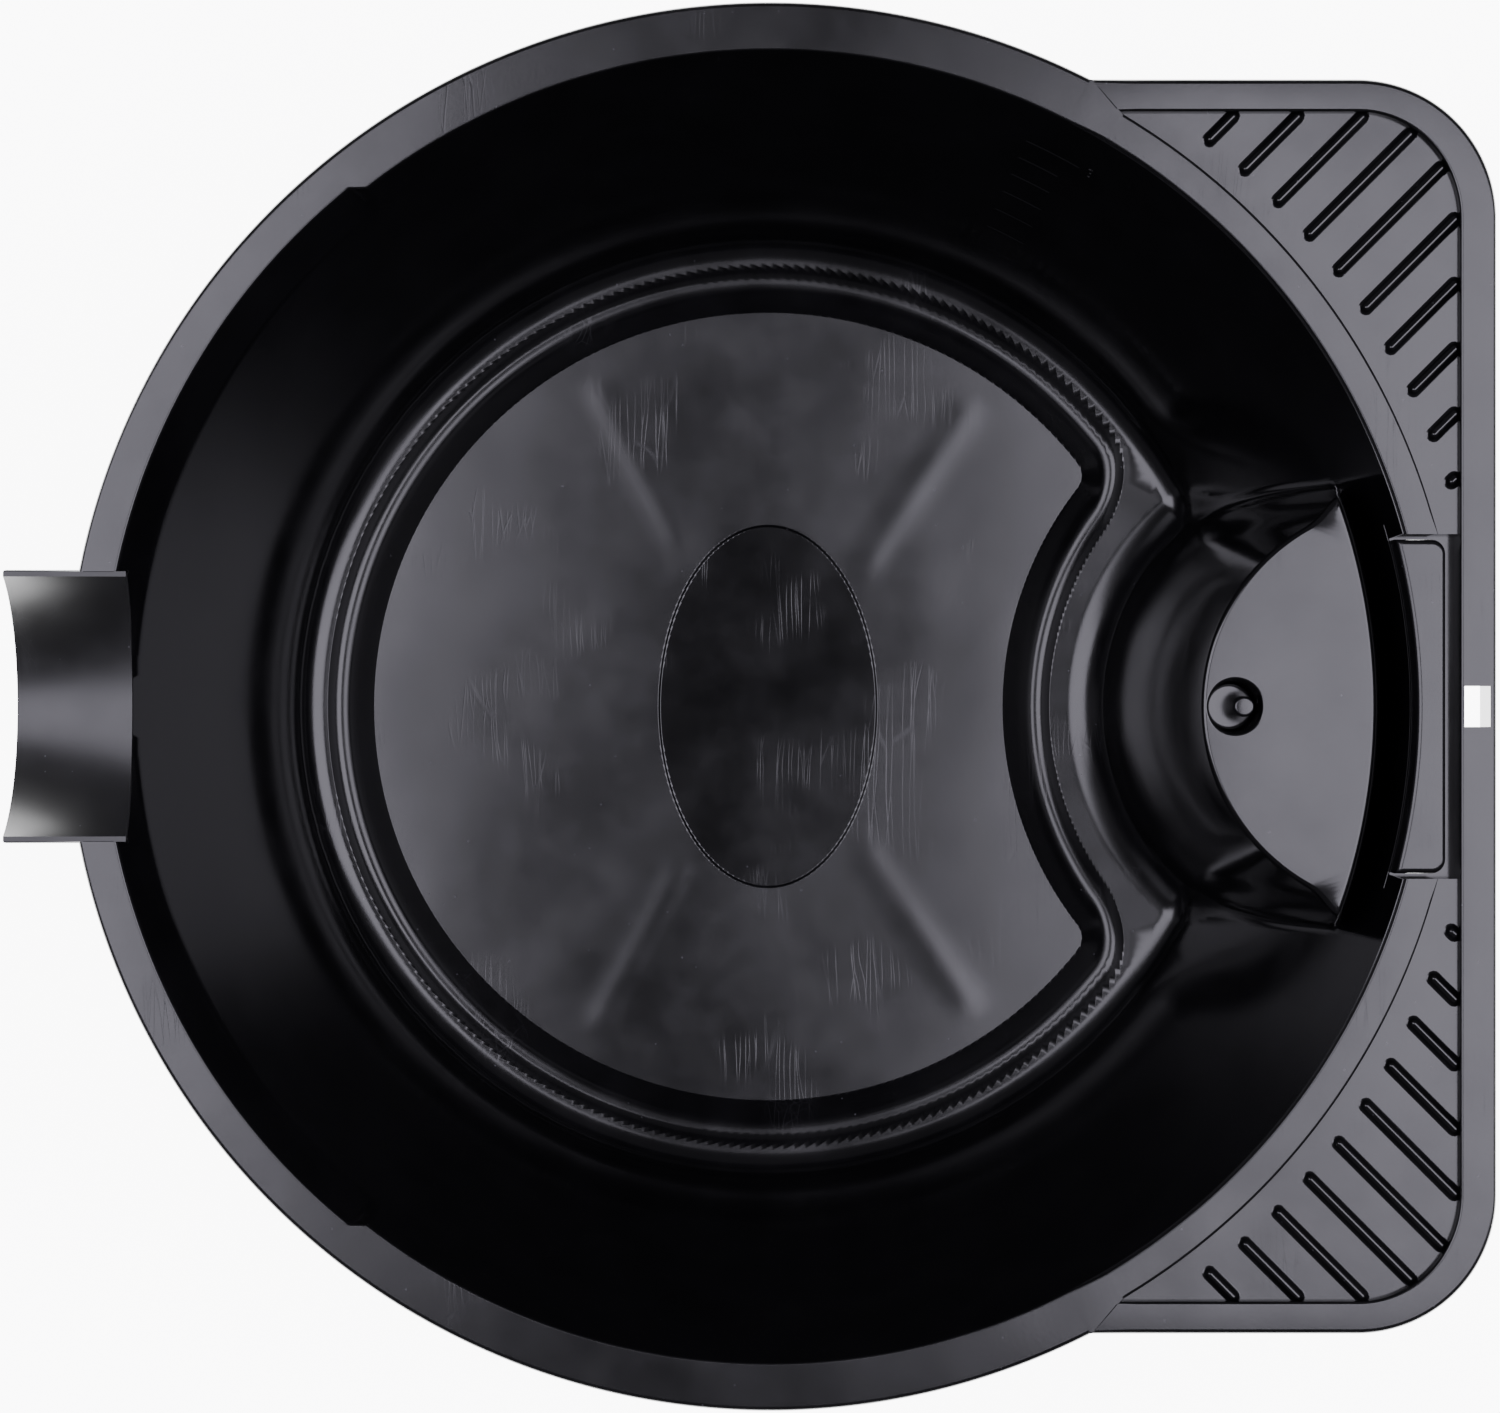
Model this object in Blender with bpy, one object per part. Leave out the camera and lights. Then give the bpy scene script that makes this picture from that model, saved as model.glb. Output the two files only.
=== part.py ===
"""Round oil drain pan with a pour spout, a ribbed handle and a filter shelf.

The pan is a single moulding with no moving parts. It is modelled as the regions of that moulding, one
closed solid for each, a hair apart. Lengths here are in millimetres in plan coordinates centred on the
basin's axis: +X towards the handle, -X towards the spout, +Z up, with the foot ring standing on Z = 0.
"""
import bpy
import bmesh
import math
from mathutils import Vector

MM = 0.001          # model units are metres
GAP = 0.3           # clearance between neighbouring solids
SKIN = 2.5          # wall thickness of the moulding
AXIS_X = 5.6        # basin axis, from the middle of the whole object

# Basin
RIM_Z = 138.0
RIM_INNER_R = 184.0
RIM_INNER_R_SPOUT_SIDE = 187.0
RIM_OUTER_R = 197.5
WALL_DRAFT = 0.296  # horizontal run for each unit of height
FLARE_Z = 126.0      # the spout side of the wall leans out above this height
FLARE_START = 127.5  # degrees from the handle
FLARE_BLEND = 2.0
SKIRT_DEPTH = 18.0
SKIRT_T = 1.6

# Floor: plateau, gutter and the arc that clears the tower
PLATEAU_R = 122.8
PLATEAU_Z = 7.5
CUT_X = 185.0       # centre of the arc that the tower cuts from the plateau
CUT_R = 112.0
SLOPE_RUN = 5.8
GUTTER_W = 8.2
GUTTER_Z = 2.5
CREASE_RUN = 1.5
CREASE_Z = 4.3
FOOT_Z = 5.6        # top of the shoulder, where wall and tower start
FOOT_R = 144.4
CORNER_R = 7.0
MEDALLION_A = 34.0
MEDALLION_B = 56.5
MEDALLION_SINK = 0.6

# Tower and shelf
SHELF_Z = 136.0
TOWER_X = 179.0     # centre of the shelf's front arc
TOWER_R = 57.8
TOWER_DRAFT = 0.13
TOWER_SKIN = 1.6
SWELL = 5.0         # extra radius towards the tips of the shelf, fading out down to the foot
SWELL_START = 50.0  # across the pan
SWELL_END = 62.0
SHELF_BACK_R = 170.0
CUP_X = 130.5
CUP_R = 7.7
CUP_BOTTOM_R = 7.3
CUP_SKIN = 1.1
CUP_DEPTH = 14.0
PEG_X = 133.3
PEG_R = 2.9
PEG_SINK = 2.0      # top of the peg below the shelf

# Handle
BAND_OUTER_R = 193.2     # outer edge of the rim band beside the gussets
BAND_INNER_R = 185.4
ARM_Y = 175.8
BAR_X = 203.6
ARM_W = 9.1
BAR_W = 10.3
CORNER_OUT_R = 39.0
EDGE_CUT = 0.9           # bevel on the outer edge of the band and of the border
INNER_LIP = 1.0
INNER_LIP_DEPTH = 10.5   # down past the web, so that the groove round the pad is closed
ARM_STEP_BACK = 1.2      # the arm's inner edge starts this far from the band
BAR_SPLIT_Y = 100.0
SLOT_HALF_Y = 5.7
GUSSET_SINK = 3.0
PAD_INNER_R = 181.2
PAD_X = 189.3
PAD_HALF_Y = 46.8
PAD_CORNER_R = 4.0
PAD_DEPTH = 10.0
BAND_END_Y = 48.3
BAND_END_STEP = 0.4      # the wall rises to its full height within this width at the band's end
JUNCTION_START = 59.0    # degrees from the handle, where the arm runs into the band
JUNCTION_END = 62.5
SKIRT_START = 63.2
RIB_COUNT = 10
RIB_HALF_W = 1.4
RIB_H = 2.2
RIB_PITCH = 18.2         # along X between 45 degree lines
RIB_FIRST = -35.6        # x - y on the first rib's line
RIB_START_R = 201.4
RIB_CLEAR = 0.4

# Spout
SPOUT_TIP_X = -214.8
SPOUT_ROOT_HALF = 36.4
SPOUT_TIP_HALF = 36.9
SPOUT_ROOT_DEPTH = 12.0
SPOUT_TIP_DEPTH = 22.0
SPOUT_SIDE_Y = 38.9

MAIN_STEPS = 56
CUT_STEPS = 14
CORNER_STEPS = 3
WALL_COLUMNS = 120
VALLEY_START = 19.9       # degrees from the handle, where the tower's flank runs down the wall
VALLEY_STEP = 0.5
VALLEY_COLUMNS = 14


# ---------------------------------------------------------------- helpers

def clear_scene():
    for item in list(bpy.data.objects):
        bpy.data.objects.remove(item, do_unlink=True)


def plastic(name, colour, roughness):
    """Black moulded plastic."""
    result = bpy.data.materials.new(name)
    result.use_nodes = True
    shader = result.node_tree.nodes["Principled BSDF"]
    shader.inputs["Base Color"].default_value = (*colour, 1.0)
    shader.inputs["Roughness"].default_value = roughness
    shader.inputs["Metallic"].default_value = 0.0
    return result


def add_object(name, bm, tone, parent):
    """Turn a bmesh in millimetres into a named object with its own material."""
    bmesh.ops.recalc_face_normals(bm, faces=bm.faces)
    bmesh.ops.scale(bm, vec=(MM, MM, MM), verts=bm.verts)
    mesh = bpy.data.meshes.new(name)
    bm.to_mesh(mesh)
    bm.free()
    mesh.shade_smooth()
    mesh.set_sharp_from_angle(angle=math.radians(35))
    mesh.materials.append(plastic(name + "_plastic", (tone, tone, tone * 1.08), 0.32))
    item = bpy.data.objects.new(name, mesh)
    bpy.context.scene.collection.objects.link(item)
    item.parent = parent
    return item


def ring_bmesh(loops):
    """Closed tube of loops: every loop has the same number of points, and the last joins the first."""
    bm = bmesh.new()
    rows = [[bm.verts.new(point) for point in loop] for loop in loops]
    count = len(rows[0])
    for row, after in zip(rows, rows[1:] + rows[:1]):
        for step in range(count):
            onward = (step + 1) % count
            bm.faces.new((row[step], row[onward], after[onward], after[step]))
    return bm


def strip_bmesh(sections):
    """Solid bar: closed sections in order along an open path, with a cap at each end."""
    bm = bmesh.new()
    rows = [[bm.verts.new(point) for point in section] for section in sections]
    count = len(rows[0])
    for row, after in zip(rows, rows[1:]):
        for step in range(count):
            onward = (step + 1) % count
            bm.faces.new((row[step], row[onward], after[onward], after[step]))
    bm.faces.new(rows[0])
    bm.faces.new(rows[-1])
    return bm


def plate_bmesh(outline, low, high):
    """Flat plate over a plan outline."""
    bm = bmesh.new()
    base = bm.faces.new([bm.verts.new((x, y, low)) for x, y in outline])
    lifted = bmesh.ops.extrude_face_region(bm, geom=[base])
    moved = [item for item in lifted["geom"] if isinstance(item, bmesh.types.BMVert)]
    bmesh.ops.translate(bm, vec=(0.0, 0.0, high - low), verts=moved)
    return bm


def arc(centre_x, centre_y, radius, start, end, steps):
    """Points on an arc, both ends included."""
    points = []
    for step in range(steps + 1):
        angle = start + (end - start) * step / steps
        points.append((centre_x + radius * math.cos(angle), centre_y + radius * math.sin(angle)))
    return points


def mirrored(points):
    """The same outline on the other side of the middle line."""
    return [(x, -y) for x, y in reversed(points)]


def cut(target, bm, name):
    """Cut a closed shape out of an object."""
    cutter = add_object(name, bm, 0.5, target.parent)
    cutter.hide_render = True
    cutter.display_type = "WIRE"
    boolean = target.modifiers.new(name, "BOOLEAN")
    boolean.operation = "DIFFERENCE"
    boolean.solver = "EXACT"
    boolean.object = cutter


# ---------------------------------------------------------------- basin

def basin_loop(radius, cut_x, cut_radius, height, corner=CORNER_R):
    """Round outline with an arc cut out of its +X side and rounded corners between the two."""
    centre_x = ((radius - corner) ** 2 - (cut_radius + corner) ** 2 + cut_x ** 2) / (2.0 * cut_x)
    centre_y = math.sqrt((radius - corner) ** 2 - centre_x ** 2)
    outer = math.atan2(centre_y, centre_x)
    inner = math.atan2(centre_y, centre_x - cut_x)
    upper = arc(centre_x, centre_y, corner, inner - math.pi, outer, CORNER_STEPS)
    main = arc(0.0, 0.0, radius, outer, 2.0 * math.pi - outer, MAIN_STEPS)
    front = arc(cut_x, 0.0, cut_radius, 2.0 * math.pi - inner, inner, CUT_STEPS)
    lower = mirrored(upper)
    outline = upper[:-1] + main[:-1] + lower[:-1] + front[:-1]
    return [(x, y, height) for x, y in outline]


def wall_radius(height):
    """Inner radius of the drafted wall."""
    return RIM_INNER_R - WALL_DRAFT * (RIM_Z - height)


def tower_reach(across, height):
    """Radius of the tower's front about its own centre, wider towards the tips of the shelf."""
    share = max(0.0, min(1.0, (abs(across) - SWELL_START) / (SWELL_END - SWELL_START)))
    share = share * share * (3.0 - 2.0 * share)
    fade = (height - FOOT_Z) / (SHELF_Z - FOOT_Z)
    return TOWER_R + SWELL * share * fade + TOWER_DRAFT * (SHELF_Z - height)


def shelf_front(across):
    """Point of the shelf's front edge at a distance from the middle line."""
    return Vector((TOWER_X - math.sqrt(tower_reach(across, SHELF_Z) ** 2 - across ** 2), across))


def shelf_outline(steps=12):
    """Lens-shaped outline of the shelf: the front edge and the back arc, which meet in two tips."""
    low = SWELL_START
    high = SWELL_END
    for _ in range(30):
        middle = 0.5 * (low + high)
        if shelf_front(middle).length > SHELF_BACK_R:
            high = middle
        else:
            low = middle
    front = []
    for step in range(-steps, steps + 1):
        place = shelf_front(low * math.sin(0.5 * math.pi * step / steps))
        front.append((place.x, place.y))
    tip_angle = math.atan2(front[-1][1], front[-1][0])
    back = arc(0.0, 0.0, SHELF_BACK_R, tip_angle, -tip_angle, steps)
    return front + back[1:-1]


def tower_distance(place, height):
    """Distance in plan outside the tower, which is bounded by its front and its back."""
    front = (place - Vector((TOWER_X, 0.0))).length - tower_reach(place.y, height)
    back = place.length - (SHELF_BACK_R + TOWER_DRAFT * (SHELF_Z - height))
    return max(front, back)


def outward_normals(outline):
    """Unit normals in plan for a clockwise outline."""
    normals = []
    count = len(outline)
    for index in range(count):
        before = Vector(outline[index - 1])
        here = Vector(outline[index])
        after = Vector(outline[(index + 1) % count])
        way = (here - before).normalized() + (after - here).normalized()
        way.normalize()
        normals.append(Vector((-way.y, way.x)))
    return normals


def flank_place(point, normal, height):
    """Where the tower's mantle passes at a height, out along the normal from a point of the shelf's edge."""
    low = 0.0
    high = 40.0
    for _ in range(30):
        middle = 0.5 * (low + high)
        if tower_distance(point + normal * middle, height) > 0.0:
            high = middle
        else:
            low = middle
    return point + normal * low


def tower_meets_wall(point, normal):
    """Height where a tower flank, followed down its draft, reaches the wall or the shoulder."""
    low = FOOT_Z + GAP
    high = SHELF_Z
    for _ in range(30):
        middle = 0.5 * (low + high)
        if flank_place(point, normal, middle).length < wall_radius(middle) - 1.5 * GAP:
            high = middle
        else:
            low = middle
    return high


def wall_foot(angle):
    """Height where the wall ends at the bottom: at the shoulder, or where the tower grows out of it."""
    low = FOOT_Z + GAP
    high = RIM_Z - 20.0
    if math.cos(angle) < 0.85:
        return low
    for _ in range(30):
        middle = 0.5 * (low + high)
        radius = wall_radius(middle)
        if tower_distance(Vector((radius * math.cos(angle), radius * math.sin(angle))), middle) > 0.0:
            high = middle
        else:
            low = middle
    return max(FOOT_Z + GAP, high - 0.5 * SKIN)


def spout_floor(x, y):
    """Height of the spout's trough."""
    along = (x + wall_radius(RIM_Z - SPOUT_ROOT_DEPTH)) / (SPOUT_TIP_X + wall_radius(RIM_Z - SPOUT_ROOT_DEPTH))
    along = max(0.0, min(1.0, along))
    half = SPOUT_ROOT_HALF + (SPOUT_TIP_HALF - SPOUT_ROOT_HALF) * along
    depth = SPOUT_ROOT_DEPTH + (SPOUT_TIP_DEPTH - SPOUT_ROOT_DEPTH) * along
    radius = (half * half + depth * depth) / (2.0 * depth)
    across = min(abs(y), half)
    return RIM_Z - depth + radius - math.sqrt(radius * radius - across * across)


def build_floor(parent):
    plateau = basin_loop(PLATEAU_R, CUT_X, CUT_R, PLATEAU_Z)

    def oval(height, grow):
        points = []
        for x, y, _ in plateau:
            angle = math.atan2(y / MEDALLION_B, x / MEDALLION_A)
            points.append(((MEDALLION_A + grow) * math.cos(angle), (MEDALLION_B + grow) * math.sin(angle), height))
        return points

    under = PLATEAU_Z - SKIN
    plateau_under = [(x, y, under) for x, y, _ in plateau]
    bm = ring_bmesh([plateau, plateau_under, oval(under, GAP), oval(PLATEAU_Z, GAP)])
    add_object("floor_panel", bm, 0.012, parent)

    top = PLATEAU_Z - MEDALLION_SINK
    outline = []
    for step in range(48):
        angle = 2.0 * math.pi * step / 48
        outline.append((MEDALLION_A * math.cos(angle), MEDALLION_B * math.sin(angle)))
    add_object("floor_medallion", plate_bmesh(outline, top - SKIN, top), 0.01, parent)


def build_channel(parent):
    """Gutter and foot ring, with the shoulder that carries the wall and, on the +X side, the tower."""
    def band(run, height):
        return basin_loop(PLATEAU_R + run, CUT_X, CUT_R - run, height)

    def shoulder(height):
        return basin_loop(FOOT_R, TOWER_X, tower_reach(0.0, FOOT_Z) + GAP, height, corner=5.0)

    gutter_end = SLOPE_RUN + GUTTER_W
    loops = [
        band(GAP, PLATEAU_Z - 0.2),
        band(SLOPE_RUN, GUTTER_Z),
        band(gutter_end, GUTTER_Z),
        band(gutter_end + CREASE_RUN, CREASE_Z),
        shoulder(FOOT_Z),
        shoulder(FOOT_Z - SKIN),
        band(gutter_end + CREASE_RUN + 0.6, CREASE_Z - SKIN),
        band(gutter_end + 0.8, 0.0),
        band(SLOPE_RUN - 1.2, 0.0),
        band(GAP, PLATEAU_Z - SKIN - 0.2),
    ]
    add_object("foot_channel", ring_bmesh(loops), 0.014, parent)


def rim_flare(height, angle):
    """Extra radius near the top of the wall on the spout's side, where the rim band is narrower."""
    from_handle = abs(math.degrees(angle) - 180.0)
    share = max(0.0, min(1.0, (180.0 - FLARE_START - from_handle) / FLARE_BLEND))
    rise = max(0.0, (height - FLARE_Z) / (RIM_Z - FLARE_Z))
    return (RIM_INNER_R_SPOUT_SIDE - RIM_INNER_R) * share * rise


def wall_angles():
    """Columns of the wall: evenly spaced, closer at the grip pad's ends and where the tower's flanks meet it."""
    angles = [2.0 * math.pi * (column + 0.5) / WALL_COLUMNS for column in range(WALL_COLUMNS)]
    extra = [math.asin(across / RIM_INNER_R) for across in (BAND_END_Y - BAND_END_STEP, BAND_END_Y)]
    extra += [math.radians(VALLEY_START + VALLEY_STEP * index) for index in range(VALLEY_COLUMNS)]
    angles += extra + [2.0 * math.pi - angle for angle in extra]
    return sorted(angles)


def build_wall(parent):
    """Drafted wall: a ring whose foot rises over the tower and whose top dips under the spout and the pad."""
    thick = SKIN * math.sqrt(1.0 + WALL_DRAFT ** 2)
    rows = 4
    inner = [[] for _ in range(rows + 1)]
    outer = [[] for _ in range(rows + 1)]
    for angle in wall_angles():
        foot = wall_foot(angle)
        top = RIM_Z - SKIN - GAP
        across = RIM_INNER_R * math.sin(angle)
        if math.cos(angle) > 0.0 and abs(across) < BAND_END_Y - GAP:
            top = RIM_Z - PAD_DEPTH - GAP
        if math.cos(angle) < 0.0 and abs(across) < SPOUT_ROOT_HALF + SKIN + 1.0:
            trough = spout_floor(-wall_radius(RIM_Z - SPOUT_ROOT_DEPTH), across)
            top = min(top, trough - SKIN - 1.6)
        bend = min(FLARE_Z, top - SKIN)
        heights = [foot + (bend - foot) * row / (rows - 1) for row in range(rows)] + [top]
        for row, height in enumerate(heights):
            radius = wall_radius(height) + rim_flare(height, angle)
            inner[row].append((radius * math.cos(angle), radius * math.sin(angle), height))
            radius += thick
            outer[row].append((radius * math.cos(angle), radius * math.sin(angle), height))
    add_object("basin_wall", ring_bmesh(inner + outer[::-1]), 0.011, parent)


# ---------------------------------------------------------------- tower

def build_tower(parent):
    outline = shelf_outline()
    normals = outward_normals(outline)
    top = SHELF_Z - SKIN - GAP
    rows = 3
    outer = [[] for _ in range(rows + 1)]
    inner = [[] for _ in range(rows + 1)]
    for corner, normal in zip(outline, normals):
        point = Vector(corner)
        foot = tower_meets_wall(point, normal)
        for row in range(rows + 1):
            height = top + (foot - top) * row / rows
            place = flank_place(point, normal, height)
            within = place - normal * TOWER_SKIN
            outer[row].append((place.x, place.y, height))
            inner[row].append((within.x, within.y, height))
    add_object("filter_tower", ring_bmesh(outer + inner[::-1]), 0.013, parent)

    shelf = add_object("filter_shelf", plate_bmesh(outline, SHELF_Z - SKIN, SHELF_Z), 0.02, parent)
    hole = plate_bmesh(arc(CUP_X, 0.0, CUP_R + GAP, 0.0, 2.0 * math.pi * 27 / 28, 27),
                       SHELF_Z - 2 * SKIN, SHELF_Z + SKIN)
    cut(shelf, hole, "cup_hole")


def build_cup(parent):
    """Cup let into the shelf, with a flat floor, and the peg that stands on it off centre."""
    floor = SHELF_Z - CUP_DEPTH
    sides = 28
    full = 2.0 * math.pi * (sides - 1) / sides
    bm = bmesh.new()
    rows = []
    profile = [(CUP_BOTTOM_R - CUP_SKIN, floor), (CUP_R - CUP_SKIN, SHELF_Z), (CUP_R, SHELF_Z),
               (CUP_BOTTOM_R, floor - CUP_SKIN)]
    for radius, height in profile:
        ring = arc(CUP_X, 0.0, radius, 0.0, full, sides - 1)
        rows.append([bm.verts.new((x, y, height)) for x, y in ring])
    for row, after in zip(rows, rows[1:]):
        for step in range(sides):
            onward = (step + 1) % sides
            bm.faces.new((row[step], row[onward], after[onward], after[step]))
    bm.faces.new(rows[0])
    bm.faces.new(rows[-1])
    add_object("drain_cup", bm, 0.012, parent)

    peg = plate_bmesh(arc(PEG_X, 0.0, PEG_R, 0.0, 2.0 * math.pi * 19 / 20, 19), floor + GAP,
                      SHELF_Z - PEG_SINK)
    add_object("drain_peg", peg, 0.03, parent)


# ---------------------------------------------------------------- rim

def band_radii(angle):
    """Inner and outer radius of the flat rim band at an angle from the handle."""
    degrees = math.degrees(angle)
    if degrees < JUNCTION_START:
        return BAND_INNER_R, BAND_OUTER_R
    if degrees < JUNCTION_END:
        blend = (degrees - JUNCTION_START) / (JUNCTION_END - JUNCTION_START)
        return (BAND_INNER_R + (RIM_INNER_R - BAND_INNER_R) * blend,
                BAND_OUTER_R + (RIM_OUTER_R - BAND_OUTER_R) * blend)
    if degrees < FLARE_START:
        return RIM_INNER_R, RIM_OUTER_R
    if degrees < FLARE_START + FLARE_BLEND:
        blend = (degrees - FLARE_START) / FLARE_BLEND
        return RIM_INNER_R + (RIM_INNER_R_SPOUT_SIDE - RIM_INNER_R) * blend, RIM_OUTER_R
    return RIM_INNER_R_SPOUT_SIDE, RIM_OUTER_R


def build_rim(parent, side, name):
    """Flat band on one side, from the grip pad to the spout, and the skirt turned down from its edge."""
    start = math.asin(BAND_END_Y / BAND_INNER_R)
    end = math.pi - math.asin(SPOUT_SIDE_Y / RIM_INNER_R_SPOUT_SIDE)
    steps = 64
    sections = []
    for step in range(steps + 1):
        angle = start + (end - start) * step / steps
        inner, outer = band_radii(angle)
        c, s = math.cos(angle), side * math.sin(angle)
        section = [(inner, RIM_Z - SKIN), (inner, RIM_Z), (outer - EDGE_CUT, RIM_Z),
                   (outer, RIM_Z - EDGE_CUT), (outer, RIM_Z - SKIN)]
        sections.append([(radius * c, radius * s, height) for radius, height in section])
    add_object("rim_flange_" + name, strip_bmesh(sections), 0.018, parent)

    first = math.radians(SKIRT_START)
    last = math.pi - math.asin((SPOUT_SIDE_Y + 0.8) / RIM_OUTER_R)
    steps = 48
    sections = []
    top = RIM_Z - SKIN - GAP
    low = RIM_Z - SKIRT_DEPTH
    for step in range(steps + 1):
        angle = first + (last - first) * step / steps
        c, s = math.cos(angle), side * math.sin(angle)
        section = [(RIM_OUTER_R - SKIRT_T, low), (RIM_OUTER_R - SKIRT_T, top), (RIM_OUTER_R, top), (RIM_OUTER_R, low)]
        sections.append([(radius * c, radius * s, height) for radius, height in section])
    add_object("rim_skirt_" + name, strip_bmesh(sections), 0.014, parent)


# ---------------------------------------------------------------- handle

def border_section(outer, inner, lip_depth):
    """Section of the raised border between an outer and an inner plan point: a channel open underneath."""
    across = Vector(inner) - Vector(outer)
    width = across.length
    stops = [(0.0, SKIRT_DEPTH), (0.0, EDGE_CUT), (EDGE_CUT, 0.0), (width, 0.0), (width, lip_depth),
             (width - INNER_LIP, lip_depth), (width - INNER_LIP, SKIN), (SKIRT_T, SKIN), (SKIRT_T, SKIRT_DEPTH)]
    section = []
    for run, depth in stops:
        place = Vector(outer) + across * (run / width)
        section.append((place.x, place.y, RIM_Z - depth))
    return section


def border_corner(in_x, in_y, steps=12):
    """Quarter turn of the border, set in from its outer edge by its own amounts along X and Y."""
    points = []
    for step in range(steps + 1):
        angle = 0.5 * math.pi * (1.0 - step / steps)
        points.append((BAR_X - CORNER_OUT_R + (CORNER_OUT_R - in_x) * math.cos(angle),
                       ARM_Y - CORNER_OUT_R + (CORNER_OUT_R - in_y) * math.sin(angle)))
    return points


def build_arm(parent, side, name):
    """Straight arm from the rim and the rounded corner into the bar."""
    inner_y = ARM_Y - ARM_W
    outer_x = math.sqrt((RIM_OUTER_R + GAP) ** 2 - ARM_Y ** 2)
    inner_x = math.sqrt((BAND_OUTER_R + GAP) ** 2 - inner_y ** 2) + ARM_STEP_BACK
    pairs = [((outer_x, ARM_Y), (inner_x, inner_y))]
    pairs.extend(zip(border_corner(0.0, 0.0), border_corner(BAR_W, ARM_W)))
    pairs.append(((BAR_X, BAR_SPLIT_Y + 0.5 * GAP), (BAR_X - BAR_W, BAR_SPLIT_Y + 0.5 * GAP)))
    sections = []
    for outer, inner in pairs:
        section = border_section(outer, inner, INNER_LIP_DEPTH)
        sections.append([(x, side * y, z) for x, y, z in section])
    add_object("handle_arm_" + name, strip_bmesh(sections), 0.018, parent)


def build_bar(parent):
    """Bar across the end of the handle, with the slot that hangs the pan on a hook."""
    end = BAR_SPLIT_Y - 0.5 * GAP
    sections = []
    for y in (end, -end):
        sections.append(border_section((BAR_X, y), (BAR_X - BAR_W, y), INNER_LIP_DEPTH))
    bar = add_object("handle_bar", strip_bmesh(sections), 0.018, parent)
    left = BAR_X - BAR_W + INNER_LIP + 0.5 * GAP
    right = BAR_X - SKIRT_T - GAP
    outline = [(left, -SLOT_HALF_Y), (right, -SLOT_HALF_Y), (right, SLOT_HALF_Y), (left, SLOT_HALF_Y)]
    cut(bar, plate_bmesh(outline, RIM_Z - 2.0 * SKIN, RIM_Z + SKIN), "hang_slot")


def build_gusset(parent, side, name):
    """Recessed web between the rim band and the border, and its diagonal ribs."""
    radius = BAND_OUTER_R + GAP
    edge_y = ARM_Y - ARM_W - GAP
    edge_x = BAR_X - BAR_W - GAP
    corner = CORNER_OUT_R - BAR_W - GAP
    top = RIM_Z - GUSSET_SINK
    tip = math.asin(edge_y / radius)
    foot = math.asin((BAND_END_Y + 1.0) / radius)
    rim_edge = arc(0.0, 0.0, radius, foot, tip, 24)
    outline = rim_edge + border_corner(BAR_W + GAP, ARM_W + GAP) + [(edge_x, BAND_END_Y + 1.0)]
    outline = [(x, side * y) for x, y in outline]
    add_object("gusset_panel_" + name, plate_bmesh(outline, top - SKIN, top), 0.022, parent)

    for index in range(RIB_COUNT):
        offset = RIB_FIRST + RIB_PITCH * index
        start = rib_point(offset, RIB_START_R)
        end = rib_end(offset, edge_x - RIB_CLEAR, edge_y - RIB_CLEAR, corner - RIB_CLEAR)
        outline = rib_outline(start, end)
        outline = [(x, side * y) for x, y in outline]
        bm = plate_bmesh(outline, top + GAP, top + RIB_H)
        add_object("gusset_rib_%s_%02d" % (name, index + 1), bm, 0.016, parent)


def rib_point(offset, radius):
    """Point at a radius on the 45 degree line x - y = offset."""
    half = 0.5 * offset
    reach = math.sqrt(0.5 * radius * radius - half * half)
    return Vector((reach + half, reach - half))


def rib_end(offset, edge_x, edge_y, corner):
    """Where the rib's line meets the inner edge of the border, less the rib's half width."""
    meet = Vector((min(edge_x, edge_y + offset), min(edge_y, edge_x - offset)))
    turn = Vector((edge_x - corner, edge_y - corner))
    if meet.x > turn.x and meet.y > turn.y:
        across = 0.5 * (offset - (turn.x - turn.y))
        reach = math.sqrt(corner * corner - 2.0 * across * across) / math.sqrt(2.0)
        meet = turn + Vector((reach + across, reach - across))
    return meet - Vector((RIB_HALF_W, RIB_HALF_W))


def rib_outline(start, end):
    """Bar with a round inner end and a square outer end."""
    way = (end - start).normalized()
    side = Vector((-way.y, way.x)) * RIB_HALF_W
    heading = math.atan2(way.y, way.x)
    nose = arc(start.x, start.y, RIB_HALF_W, heading + 0.5 * math.pi, heading + 1.5 * math.pi, 6)
    return nose + [tuple(end - side), tuple(end + side)]


def build_pad(parent):
    """Raised block in the middle of the handle, and the web that closes the groove round it."""
    half = PAD_HALF_Y
    reach = math.asin(half / PAD_INNER_R)
    edge = arc(0.0, 0.0, PAD_INNER_R, reach, -reach, 12)
    low = arc(PAD_X - PAD_CORNER_R, PAD_CORNER_R - half, PAD_CORNER_R, -0.5 * math.pi, 0.0, 4)
    high = arc(PAD_X - PAD_CORNER_R, half - PAD_CORNER_R, PAD_CORNER_R, 0.0, 0.5 * math.pi, 4)
    outline = edge + low + high
    add_object("grip_pad", plate_bmesh(outline, RIM_Z - PAD_DEPTH, RIM_Z), 0.02, parent)

    top = RIM_Z - PAD_DEPTH - GAP
    radius = wall_radius(top) + SKIN * math.sqrt(1.0 + WALL_DRAFT ** 2) + GAP
    reach = math.asin(BAND_END_Y / radius)
    edge = arc(0.0, 0.0, radius, reach, -reach, 12)
    right = BAR_X - BAR_W - GAP
    outline = edge + [(right, -BAND_END_Y), (right, BAND_END_Y)]
    add_object("grip_web", plate_bmesh(outline, top - SKIN, top), 0.012, parent)


# ---------------------------------------------------------------- spout

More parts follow.
